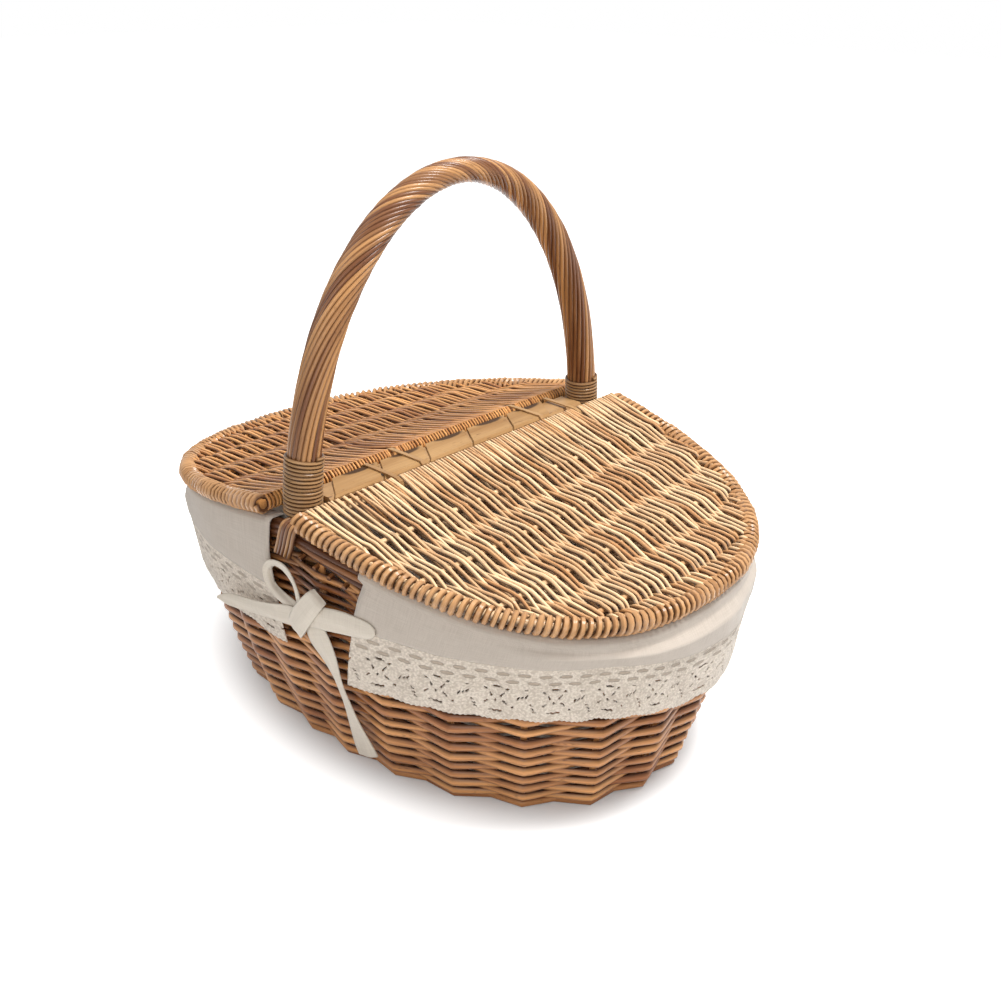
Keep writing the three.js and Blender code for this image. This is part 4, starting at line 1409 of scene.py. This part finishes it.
@dataclass
class Lid:
    """One of the two hinged lids, woven over ribs inside a bent rim rod."""

    prefix: str
    side: int
    body: Body
    finish: WillowFinish
    seed: int
    loops: tuple[float, float]
    hinge_x: float = 18.3
    hinge_z: float = 172.0
    end_height: float = 137.6
    rim_half_length: float = 194.4
    rim_half_width: float = 144.4
    squareness: float = 2.48
    rim_radius: float = 3.1
    hinge_radius: float = 3.4
    rib_radius: float = 2.2
    rib_places: tuple[float, ...] = (40, 80, 120, 155)
    strands: int = 112
    strand_radius: float = 1.34
    strand_reach: float = 141.0
    binding_pitch: float = 4.5
    binding_radius: float = 1.85
    binding_reach: float = 1.3
    binding_steps: int = 10
    path_steps: int = 400
    shortest_strand: float = 14.0
    loop_room: float = 3.5
    bunching: float = 0.75
    lean: float = 5.0
    # Painted shade on the strands where they pass under a rib.
    hidden_light: float = 0.36
    # The degrees, seen along the hinge rod, at which a strand lies on it.
    hinge_wrap: tuple[int, ...] = (262, 215, 165, 120, 88)

    def __post_init__(self) -> None:
        """Work out the slope and start the lid's own run of chance."""
        self.rng = np.random.default_rng(self.seed)
        drop, run = self.hinge_z - self.end_height, self.rim_half_length - self.hinge_x
        self.slope = math.atan(drop / run)

    def turned(self, directions: np.ndarray) -> np.ndarray:
        """Return directions on the flat lid as they are on the basket."""
        return self.placed(directions) - self.placed(np.zeros((1, 3)))

    def placed(self, points: np.ndarray) -> np.ndarray:
        """Return points of the flat lid in their place on the basket.

        Args:
            points: Points at distances from the hinge, across the lid and above it.

        Returns:
            The same points on the basket.
        """
        c, s = math.cos(self.slope), math.sin(self.slope)
        x = self.hinge_x + c * points[:, 0] + s * points[:, 2]
        z = self.hinge_z - s * points[:, 0] + c * points[:, 2]
        return np.column_stack([self.side * x, self.side * points[:, 1], z])

    def rim_end(self, y: float) -> float:
        """Return how far from the hinge the rim's middle lies.

        Args:
            y: Place across the lid.

        Returns:
            The distance.
        """
        share = min(abs(y) / self.rim_half_width, 1.0)
        x = self.rim_half_length * (1 - share**self.squareness) ** (1 / self.squareness)
        return (x - self.hinge_x) / math.cos(self.slope)

    def rim_path(self, steps: int) -> np.ndarray:
        """Return the rim rod's middle line, evenly divided, from the near end to the far one.

        Args:
            steps: Into how many parts it is divided.

        Returns:
            The line on the flat lid.
        """
        start = math.asin(((self.hinge_x - 2) / self.rim_half_length) ** (self.squareness / 2))
        fine = []
        for i in range(601):
            angle = -TURN / 4 + start + (TURN / 2 - 2 * start) * i / 600
            x, y = WALL.oval(angle, self.rim_half_length, self.rim_half_width, self.squareness)
            fine.append([(x - self.hinge_x) / math.cos(self.slope), y, 0])
        fine = np.array(fine)
        lengths = run_lengths(fine)
        wanted = np.linspace(0, lengths[-1], steps + 1)
        return np.column_stack([np.interp(wanted, lengths, fine[:, axis]) for axis in range(3)])

    def rods(self) -> list[Rod]:
        """Return the rim rod and the ribs.

        Returns:
            The rods.
        """
        found = [Rod(self.placed(self.rim_path(96)), self.rim_radius, 0.5, both=True)]
        for along in self.rib_places:
            x = self.hinge_x + along * math.cos(self.slope)
            share = 1 - (x / self.rim_half_length) ** self.squareness
            reach = self.rim_half_width * share ** (1 / self.squareness) - 2
            line = np.array([[along, y, 0] for y in np.linspace(-reach, reach, 25)])
            found.append(Rod(self.placed(line), self.rib_radius, self.rng.uniform(), both=True))
        return found

    def binding(self) -> Rod:
        """Return the strand wound all round the rim.

        Returns:
            The strand.
        """
        path = self.rim_path(self.path_steps)
        length = np.linalg.norm(np.diff(path, axis=0), axis=1).sum()
        turns = int(length / self.binding_pitch)
        count = turns * self.binding_steps
        even = np.linspace(0, self.path_steps, count + 1)
        places = np.arange(self.path_steps + 1)
        spine = np.column_stack([np.interp(even, places, path[:, axis]) for axis in range(3)])
        out = np.cross(unit(np.gradient(spine, axis=0)), [0, 0, 1.0])
        turn = TURN * np.arange(count + 1) / self.binding_steps
        reach = self.rim_radius + self.binding_reach
        reach = reach + 0.15 * np.sin(turn / 7.3) + 0.12 * np.sin(turn / 2.9)
        ring = spine + reach[:, None] * (
            out * np.cos(turn)[:, None] + np.array([0, 0, 1.0]) * np.sin(turn)[:, None]
        )
        sizes = self.binding_radius + 0.16 * np.sin(turn / 11.1) + 0.12 * np.sin(turn / 3.7)
        return Rod(self.placed(ring), sizes, 0.62, face=self.turned(ring - spine))

    def share_across(self, number: int) -> float:
        """Return where a strand lies across the lid, from -1 to 1."""
        return number / (self.strands - 1) * 2 - 1

    def strand(self, number: int) -> Rod:
        """Return one strand: round the hinge rod, over and under the ribs, and under the binding.

        Args:
            number: Which one.

        Returns:
            The strand.
        """
        side = 1 if number % 2 == 0 else -1
        share = self.share_across(number)
        y = self.strand_reach * share + self.rng.normal(0, 0.2)
        end = self.rim_end(y) - 1.5
        lean = side * self.lean * math.exp(-(((share + 1) / 0.3) ** 2)) if self.side > 0 else 0.0
        lift = self.rib_radius + self.strand_radius * 0.7
        reach = self.hinge_radius + self.strand_radius * 0.74

        def across(along: float) -> float:
            """Return where the strand lies across the lid.

            Neighbours bunch up and spread again, and make room for the hinge loops.

            Args:
                along: Distance from the hinge.

            Returns:
                The place.
            """
            bunch = math.sin(TURN * (y / 11.3 + along / 83))
            bunch += 0.8 * math.sin(TURN * (y / 18.7 - along / 61))
            place = y + self.bunching * bunch * min(along / 30, 1.0) + lean * (along / end - 0.5)
            for loop in self.loops:
                room = self.loop_room * math.exp(-abs(place - loop) / 4)
                room *= min(max((18 - along) / 10, 0.0), 1.0)
                place += math.copysign(room, place - loop)
            return place

        # Each point carries a fourth number, the light painted on it there: a little less round the
        # hinge, in the bays and at the end under the binding, and painted shade under the ribs. The
        # lit side faces out round the hinge rod and up elsewhere.
        points = []
        for degrees in self.hinge_wrap:
            angle = math.radians(degrees)
            points.append([reach * math.cos(angle), across(0), reach * math.sin(angle), 0.9])
        previous = 0.0
        for along in self.rib_places:
            if along > end - 9:
                break
            middle = (previous + along) / 2
            level = reach * 0.55 + side * 0.9 if previous == 0 else 0.3 * self.rng.normal()
            points.append([middle, across(middle), level, 0.72])
            # Painted shade where the strand dips under a rib.
            light = 1.0 if side > 0 else self.hidden_light
            for step, height in ((-4.5, 0.9), (0.0, 1.0), (4.5, 0.9)):
                points.append([along + step, across(along + step), side * lift * height, light])
            side = -side
            previous = along
        top = side * (self.rim_radius + 0.4)
        points.append([(previous + end) / 2, across((previous + end) / 2), top * 0.35, 0.8])
        points.append([end - 3, across(end - 3), top * 0.9, 0.9])
        points.append([end, across(end), top, 0.7])
        path = smooth_path([np.array(p) for p in points], 3)
        path, light = path[:, :3], path[:, 3]
        size = self.strand_radius * self.rng.uniform(0.86, 1.1)
        size = size * np.clip(0.74 + (path[:, 0] - 3) / 40, 0.74, 1.0)
        faces = np.where(path[:, :1] < 2, path * [1, 0, 1], [0.0, 0.0, 1.0])
        shade = self.rng.uniform()
        return Rod(self.placed(path), size, shade, face=self.turned(faces), light=light, both=True)

    def build(self) -> None:
        """Build the lid's pieces."""
        material = self.finish.material()
        slot = "straw_willow" if self.side > 0 else "honey_willow"
        rods = rod_piece(f"{self.prefix}_rim_and_ribs", self.rods())
        finish_piece(rods, self.body, material, slot, f"{self.prefix}_frame")
        strands = [
            self.strand(number)
            for number in range(self.strands)
            if self.rim_end(self.strand_reach * self.share_across(number)) > self.shortest_strand
        ]
        weave = rod_piece(f"{self.prefix}_strands", strands, rounding=1)
        finish_piece(weave, self.body, material, slot, f"{self.prefix}_weave")
        wound = rod_piece(f"{self.prefix}_rim_binding", [self.binding()], rounding=1)
        finish_piece(wound, self.body, RIM.material(), slot)
        dress(f"{self.prefix}_hinge_rod", self.finish.material(ALONG_Y))


LACE_REPEAT = 34.0
# The lace's open slits in millimetres: place along, place down, half length, half width and tilt.
LACE_FLOWER = (
    (0.0, 13.2, 2.9, 0.75, 8),
    (-6.4, 15.2, 1.5, 0.6, 35),
    (5.8, 14.6, 1.4, 0.6, -25),
    (-3.2, 18.6, 1.9, 0.6, 60),
    (3.4, 18.4, 1.9, 0.6, -60),
    (0.0, 22.4, 1.0, 0.7, 90),
    (-5.2, 23.8, 1.8, 0.55, -35),
    (5.4, 23.6, 1.8, 0.55, 35),
    (1.0, 29.6, 4.4, 0.7, 3),
)
LACE_FAN = (
    (-4.2, 20.8, 1.6, 0.55, -62),
    (-1.9, 19.8, 1.6, 0.55, -62),
    (0.4, 18.8, 1.6, 0.55, -62),
    (3.8, 24.5, 1.3, 0.5, 25),
    (4.9, 26.8, 1.3, 0.5, 25),
    (6.0, 29.1, 1.3, 0.5, 25),
    (-6.5, 27.0, 0.9, 0.5, 0),
    (-0.5, 14.2, 1.0, 0.5, 0),
)


@dataclass
class Lining:
    """The cotton lining: its bag, the cuffs turned over the border, and their lace."""

    cuff_hem: float = 119.3
    cuff_inner: float = 6.4
    hang_steps: int = 6
    lace_depth: float = 35.5
    hem_droop: float = 15.0
    hem_droop_reach: float = 0.35
    hem_turn: float = 0.12
    outside: float = 6.7
    inside: float = 7.4
    least_billow: float = -0.4
    lace_length: float = 470.0
    lace_height: float = 36.0
    lace_plain: tuple[float, float] = (11.0, 33.5)
    bag_floor: float = 9.0
    low_edge: float = -9.5
    flap_foot: float = 44.0
    flap_foot_height: float = 71.0
    flap_rise: float = 91.0
    flap_shift: float = 17.0

    def flap_edge(self, height: float) -> float:
        """Return where the right flap's near edge hangs, along X, at a height."""
        return self.flap_foot + (height - self.flap_foot_height) * self.flap_shift / self.flap_rise

    def hem(self, angle: float) -> float:
        """Return the height of the cuff's hem, which hangs lower at the basket's ends."""
        away = math.sin(angle - self.hem_turn) / self.hem_droop_reach
        return self.cuff_hem - self.hem_droop * math.exp(-(away**2))

    def span(self, height: float) -> tuple[float, float]:
        """Return the places where the right cuff starts and ends at a height."""
        first = WALL.near_angle(self.flap_edge(height))
        return first, WALL.near_angle(self.low_edge) + TURN / 2

    @staticmethod
    def billow(angle: float, height: float) -> float:
        """Return how far the hanging cloth stands out from the wall.

        Args:
            angle: Place round the wall.
            height: Height above the table.

        Returns:
            The distance.
        """
        wave = 0.5 + 0.5 * math.sin(TURN * angle * 164 / 62)
        fine = noise.noise(Vector((angle * 5, height * 0.03, 1.7)))
        finer = noise.noise(Vector((angle * 16, height * 0.06, 4.2)))
        bulge = 4.6 * math.exp(-((math.sin(angle) / 0.45) ** 2))
        return 0.9 * wave + 1.1 * fine + 0.5 * finer + bulge

    def cuff_point(self, u: float, v: float) -> np.ndarray:
        """Return a point of the right cuff.

        Args:
            u: Share along it, from the near slit.
            v: Share across it, from its inner hem to its outer one.

        Returns:
            The point.
        """
        first, last = self.span(140 if v < 0.5 else 162 - 43 * (v - 0.5) / 0.5)
        angle = first + (last - first) * u
        top = WALL.rim_top(angle)
        route = [
            (top - 12.5, -self.cuff_inner),
            (top - 5.0, -self.cuff_inner),
            (top - 0.8, -6.2),
            (top + 0.95, -4.2),
            (top + 1.2, 0.0),
            (top + 0.95, 4.4),
            (top - 1.2, self.cuff_inner),
            (top - 6.0, 7.1),
        ]
        hang = top - 6.0
        for k in range(1, self.hang_steps + 1):
            z = hang + (self.hem(angle) - hang) * k / self.hang_steps
            wave = max(self.least_billow, self.billow(angle, z)) * min(1, k / 2)
            route.append((z, self.outside + 0.75 + wave))
        at = v * (len(route) - 1)
        i = min(int(at), len(route) - 2)
        t = at - i
        z = route[i][0] * (1 - t) + route[i + 1][0] * t
        out = route[i][1] * (1 - t) + route[i + 1][1] * t
        return WALL.point(angle, z, out)

    def lace_point(self, u: float, v: float) -> np.ndarray:
        """Return a point of the right lace edge.

        Args:
            u: Share along it.
            v: Share down it.

        Returns:
            The point.
        """
        first, last = self.span(100)
        top = self.hem(first + (last - first) * u)
        scallop = 1.6 * abs(math.sin(TURN * u * 9.5)) + 0.35 * math.sin(TURN * u * 150)
        droop = 12.0 * math.exp(-u * 9.8) + 5.0 * math.exp(-(1 - u) * 9)
        z = top - 0.2 - (self.lace_depth - 1 + scallop + droop) * v
        first, last = self.span(z)
        angle = first + (last - first) * u
        out = self.outside + 0.7 + 0.75 * max(self.least_billow, self.billow(angle, z))
        return WALL.point(angle, z, out)

    def lace_hole(self, u: float, v: float) -> bool:
        """Say whether the lace is open at a place.

        Args:
            u: Share along it.
            v: Share down it.

        Returns:
            Whether one of its slits is there.
        """
        along, down = u * self.lace_length, v * self.lace_height
        if not self.lace_plain[0] <= down <= self.lace_plain[1]:
            return False
        for motif, shift in ((LACE_FLOWER, 0.0), (LACE_FAN, LACE_REPEAT / 2)):
            place = (along + shift) % LACE_REPEAT - LACE_REPEAT / 2
            for x, y, half_length, half_width, tilt in motif:
                c, s = math.cos(math.radians(tilt)), math.sin(math.radians(tilt))
                a, b = (place - x) * c + (down - y) * s, (down - y) * c - (place - x) * s
                if (a / half_length) ** 2 + (b / half_width) ** 2 < 1:
                    return True
        return False

    def bag_point(self, u: float, v: float) -> np.ndarray:
        """Return a point of the lining bag.

        Args:
            u: Share round it.
            v: Share up from its middle.

        Returns:
            The point.
        """
        angle = TURN * u
        top = WALL.border_foot(angle) + 4.0
        if v < 0.25:
            edge = WALL.point(angle, self.bag_floor, -7.5)
            share = v / 0.25
            point = edge * share * 0.97
            point[2] = 8.4 + 0.5 * noise.noise(Vector((point[0] * 0.03, point[1] * 0.03, 0)))
            return point
        rise = (v - 0.25) / 0.75
        z = self.bag_floor + (top - self.bag_floor) * rise
        point = WALL.point(angle, z, -self.inside)
        soft = noise.noise(Vector((point[0] * 0.02, point[1] * 0.02, z * 0.012)))
        fold = noise.noise(Vector((math.cos(angle) * 5.5, math.sin(angle) * 5.5, rise * 0.9)))
        loose = 1.2 + 5.0 * max(0, fold + 0.15) + 3.0 * max(0, soft)
        inward = 1 - 0.7 * rise + loose * math.sin(math.pi * rise) + 1.2 * max(0, 1 - rise * 6)
        room = 11 * min(1, max(0, (z - 15) / 30)) * math.exp(-((point[0] / 18) ** 2))
        flat = np.array([point[0], point[1], 0])
        point = point - flat / np.linalg.norm(flat) * inward
        point[1] -= math.copysign(room, point[1])
        return point

    def build(self) -> None:
        """Build the lining's pieces."""
        cotton, lace = COTTON.material(), LACE.material(lace_group())
        bag = cloth_piece(
            "lining_cloth", 144, 40, self.bag_point, 1.0, size=(0.95, 0.3), closed=True
        )
        finish_piece(bag, Body.BASKET, cotton, "cotton", "lining_bag")
        for name, side in (("right", 1), ("left", -1)):
            cuff_point = turned_round(self.cuff_point, side)
            cuff = cloth_piece(f"{name}_cuff_cloth", 150, 39, cuff_point, 1.0, size=(0.5, 0.075))
            finish_piece(cuff, Body.BASKET, cotton, "cotton", f"{name}_cuff")
            edge = cloth_piece(
                f"{name}_lace_edge",
                760,
                52,
                turned_round(self.lace_point, side),
                0.8,
                hole=self.lace_hole,
                size=(0.47, 0.036),
            )
            finish_piece(edge, Body.BASKET, lace, "cotton_lace", f"{name}_lace")


def turned_round(
    place: Callable[[float, float], np.ndarray], side: int
) -> Callable[[float, float], np.ndarray]:
    """Return a placing function for one side of the basket.

    Args:
        place: Places a sheet on the right or near side.
        side: 1 for that side, -1 for the same turned half round.

    Returns:
        The function for that side.
    """
    signs = np.array([side, side, 1.0])

    def placed(u: float, v: float) -> np.ndarray:
        """Return a point for shares along and down the sheet."""
        return place(u, v) * signs

    return placed


@dataclass(frozen=True)
class Ribbon:
    """A strip of the ties.

    Its route is a list of places on the near wall: X, height, distance out from the wall, width
    and how far the strip is turned about its own line, in degrees.
    """

    name: str
    route: tuple[tuple[float, float, float, float, float], ...]
    held: str
    rests_on: tuple[str, ...]
    curl: float = 0.8
    closed: bool = False

    def frames(self) -> tuple[np.ndarray, np.ndarray, np.ndarray, np.ndarray]:
        """Return the strip's run.

        Returns:
            Its middle line, its directions across and out, and its widths.
        """
        middle, out, rest = [], [], []
        for x, height, off, width, turn in self.route:
            angle = WALL.near_angle(x)
            here = WALL.point(angle, height, off)
            middle.append(here)
            out.append(here - WALL.point(angle, height, off - 1))
            rest.append([width, math.radians(turn), 0])
        if self.closed:
            middle, out, rest = middle + middle[:1], out + out[:1], rest + rest[:1]
        line, out, rest = (smooth_path(part, 10) for part in (middle, out, rest))
        along = unit(np.gradient(line, axis=0))
        across = unit(np.cross(out, along))
        face = np.cross(along, across)
        turn = rest[:, 1][:, None]
        return (
            line,
            across * np.cos(turn) + face * np.sin(turn),
            face * np.cos(turn) - across * np.sin(turn),
            rest[:, 0],
        )

    def build(self, side: str, turn: int, cuff: str, *nodes: str) -> None:
        """Build the strip on one side of the basket.

        Args:
            side: The side's name.
            turn: 1 near, -1 far.
            cuff: The piece that the tie is sewn to; not used.
            nodes: The CAD nodes that it replaces.
        """
        line, across, face, widths = self.frames()
        count = len(line) - 1
        length = float(np.linalg.norm(np.diff(line, axis=0), axis=1).sum())
        width = float(widths.mean())

        def place(u: float, v: float) -> np.ndarray:
            """Return a point of the strip.

            Args:
                u: Share along it.
                v: Share across it.

            Returns:
                The point.
            """
            i = min(int(u * count), count - 1)
            t = u * count - i
            mix = [part[i] * (1 - t) + part[i + 1] * t for part in (line, across, face, widths)]
            bow = self.curl * (1 - (2 * v - 1) ** 2)
            ripple = 0.35 * math.sin(9 * v + 0.13 * i)
            return mix[0] + mix[1] * (v - 0.5) * mix[3] + mix[2] * (bow + ripple)

        piece = cloth_piece(
            f"{side}_{self.name}",
            count,
            6,
            turned_round(place, turn),
            0.8,
            size=(length * MM, width * MM),
            closed=self.closed,
            smooth=1,
        )
        finish_piece(piece, Body.BASKET, TIES.material(), "cotton", *nodes)


TIE_RIBBONS = (
    Ribbon(
        "tie_knot",
        (
            (31.0, 132.0, 10.0, 11.0, 0),
            (29.0, 129.0, 14.2, 13.0, 0),
            (20.0, 116.0, 15.4, 14.5, 0),
            (11.5, 103.5, 14.0, 14.0, 0),
            (9.0, 100.5, 10.0, 12.0, 0),
            (18.0, 114.0, 7.6, 10.0, 0),
        ),
        "folded",
        ("tie_band",),
        closed=True,
    ),
    Ribbon(
        "tie_band",
        (
            (12.0, 112.5, 11.2, 12.0, 0),
            (28.0, 117.5, 12.4, 14.0, 0),
            (45.0, 120.5, 10.6, 14.5, 0),
            (58.0, 121.5, 9.8, 13.0, 0),
            (66.0, 122.3, 9.4, 10.0, 0),
            (70.0, 122.6, 9.0, 3.0, 0),
        ),
        "laid",
        (),
        curl=1.5,
    ),
    Ribbon(
        "tie_left_tail",
        (
            (20.0, 111.5, 11.0, 11.0, 0),
            (5.0, 108.5, 12.4, 13.0, 0),
            (-12.0, 104.5, 14.0, 10.0, 0),
            (-30.0, 100.5, 15.0, 9.0, -5),
            (-45.0, 97.5, 16.5, 8.5, 0),
            (-54.0, 95.0, 17.5, 6.0, 5),
            (-61.0, 93.0, 18.5, 1.6, 0),
        ),
        "laid",
        ("tie_knot",),
    ),
    Ribbon(
        "tie_hanging_tail",
        (
            (24.0, 113.0, 10.6, 12.0, 0),
            (27.5, 102.0, 10.8, 15.5, 0),
            (33.0, 89.0, 10.0, 13.5, 10),
            (38.0, 71.5, 9.4, 9.0, 22),
            (42.0, 58.0, 9.2, 8.5, 18),
            (46.0, 42.0, 9.6, 10.0, 10),
            (49.5, 27.0, 9.8, 12.0, 0),
            (52.0, 16.0, 9.8, 14.0, 0),
        ),
        "hung",
        ("tie_knot",),
    ),
    Ribbon(
        "tie_loop",
        (
            (18.0, 112.0, 9.0, 7.0, 0),
            (7.0, 114.5, 9.6, 6.0, 35),
            (-9.0, 120.0, 9.6, 5.5, 60),
            (-12.0, 131.0, 10.0, 5.5, 60),
            (-4.5, 139.5, 11.0, 6.5, 40),
            (7.0, 141.0, 12.6, 8.0, 20),
            (14.5, 133.5, 13.4, 7.0, 30),
            (16.0, 121.0, 12.6, 6.5, 20),
            (15.0, 112.0, 11.0, 6.0, 0),
        ),
        "folded",
        ("tie_knot",),
    ),
)


@dataclass
class Ties:
    """The cotton ties, knotted at both slits of the lining."""

    def build(self) -> None:
        """Build the ties of both sides."""
        for side, cuff, turn in (("near", "right", 1), ("far", "left", -1)):
            for ribbon in TIE_RIBBONS:
                nodes = (f"{side}_bow",) if ribbon.name == "tie_knot" else ()
                ribbon.build(side, turn, f"{cuff}_cuff_cloth", *nodes)


@dataclass
class Studio:
    """The pale floor, the soft lamps, the white surround and the camera."""

    focal_pixels: float = 1193.0
    picture: float = 1001.0
    sensor: float = 36.0
    yaw: float = -42.13
    pitch: float = 24.73
    roll: float = 1.1
    stand: Triple = (0.5056, -0.5162, 0.4658)
    shadow_scale: Triple = (1 / 0.17, 1 / 0.112, 1)
    target: Triple = (0, 0, 0.12)
    floor_grey: float = 0.8
    shadow_edge: tuple[float, float] = (0.95, 1.42)
    floor_glow: tuple[float, float] = (0.05, 0.9)
    room_color: Triple = (1.0, 0.98, 0.96)
    room_light: float = 0.33

    def build(self) -> None:
        """Set up everything round the basket."""
        self.camera()
        self.floor()
        self.surround()
        self.lamp("key", (0.5, 0.3, 1.5), size=0.55, power=27.0)
        self.lamp("fill", (0.9, -1.4, 0.8), size=1.0, power=9.0)
        self.lamp("side", (-1.3, -0.3, 0.9), size=1.2, power=2.0)

    def camera(self) -> None:
        """Set the camera where the photograph's was."""
        yaw, pitch, roll = (math.radians(turn) for turn in (self.yaw, self.pitch, self.roll))
        level = math.cos(pitch)
        ahead = Vector((math.sin(yaw) * level, math.cos(yaw) * level, -math.sin(pitch)))
        right = Vector((math.cos(yaw), -math.sin(yaw), 0))
        up = right.cross(ahead)
        c, s = math.cos(roll), math.sin(roll)
        right, up = c * right + s * up, c * up - s * right
        data = bpy.data.cameras.new("camera")
        data.sensor_width = self.sensor
        data.lens = self.focal_pixels / self.picture * self.sensor
        data.clip_start = 0.01
        camera = add_object("camera", data)
        turn = Matrix((right, up, -ahead)).transposed().to_4x4()
        camera.matrix_world = Matrix.Translation(self.stand) @ turn
        bpy.context.scene.camera = camera

    def floor(self) -> None:
        """Lay the pale floor."""
        shape = bmesh.new()
        bmesh.ops.create_grid(shape, x_segments=1, y_segments=1, size=6)
        mesh = bpy.data.meshes.new("floor")
        shape.to_mesh(mesh)
        shape.free()
        floor = add_object("floor", mesh)
        floor.location.z = CAD_BOX[0][2]
        material = bpy.data.materials.new("floor")
        material.use_nodes = True
        material.node_tree.nodes.clear()
        w = Wiring(material.node_tree)
        oval = w.mapped(w.node("TexCoord").outputs["Object"], Scale=self.shadow_scale)
        reach = w.node("VectorMath", {0: oval}, operation="LENGTH").outputs["Value"]
        limits = (*self.shadow_edge, *self.floor_glow)
        # The floor glows for camera and glossy rays away from the basket's foot: painted light that
        # turns it white and leaves the cast shadow only near the foot.
        far = w.ranged(reach, *limits, interpolation_type="SMOOTHSTEP")
        matt = w.node("BsdfDiffuse", {"Color": (*[self.floor_grey] * 3, 1)}).outputs[0]
        glow = w.node("Emission", {"Strength": w.reckon("MULTIPLY", w.seen(), far)}).outputs[0]
        w.node("OutputMaterial", {"Surface": w.node("AddShader", {0: matt, 1: glow}).outputs[0]})
        mesh.materials.append(material)

    def surround(self) -> None:
        """Make the world white where it is seen, and softly lit elsewhere."""
        world = bpy.data.worlds.new("studio")
        bpy.context.scene.world = world
        world.use_nodes = True
        world.node_tree.nodes.clear()
        w = Wiring(world.node_tree)
        room = {"Color": (*self.room_color, 1), "Strength": self.room_light}
        soft = w.node("Background", room).outputs[0]
        white = w.node("Background", {"Color": (1, 1, 1, 1), "Strength": 1.0}).outputs[0]
        mixed = w.node("MixShader", {"Fac": w.seen(), 1: soft, 2: white}).outputs[0]
        w.node("OutputWorld", {"Surface": mixed})

    def lamp(self, name: str, place: Triple, size: float, power: float) -> None:
        """Hang a soft lamp that faces the basket.

        Args:
            name: Its name.
            place: Where it hangs, in metres.
            size: Its width.
            power: Its power in watts.
        """
        data = bpy.data.lights.new(name, "AREA")
        data.size = size
        data.energy = power
        lamp = add_object(name, data)
        lamp.location = place
        aim = Vector(self.target) - Vector(place)
        lamp.rotation_euler = aim.to_track_quat("-Z", "Y").to_euler()


def main() -> None:
    """Build the studio and every part of the basket, in order."""
    logging.basicConfig(level=logging.INFO, format="%(name)s %(message)s")
    bpy.context.scene.view_settings.view_transform = "Standard"
    Studio().build()
    WovenWall().build()
    Border().build()
    Base().build()
    Handle().build()
    CentreBar().build()
    Lid("right_lid", 1, Body.RIGHT_LID, STRAW, 21, loops=(-70.5, 98.7)).build()
    Lid("left_lid", -1, Body.LEFT_LID, HONEY, 22, loops=(-70.5, 42.3)).build()
    Lining().build()
    Ties().build()


if __name__ == "__main__":
    main()
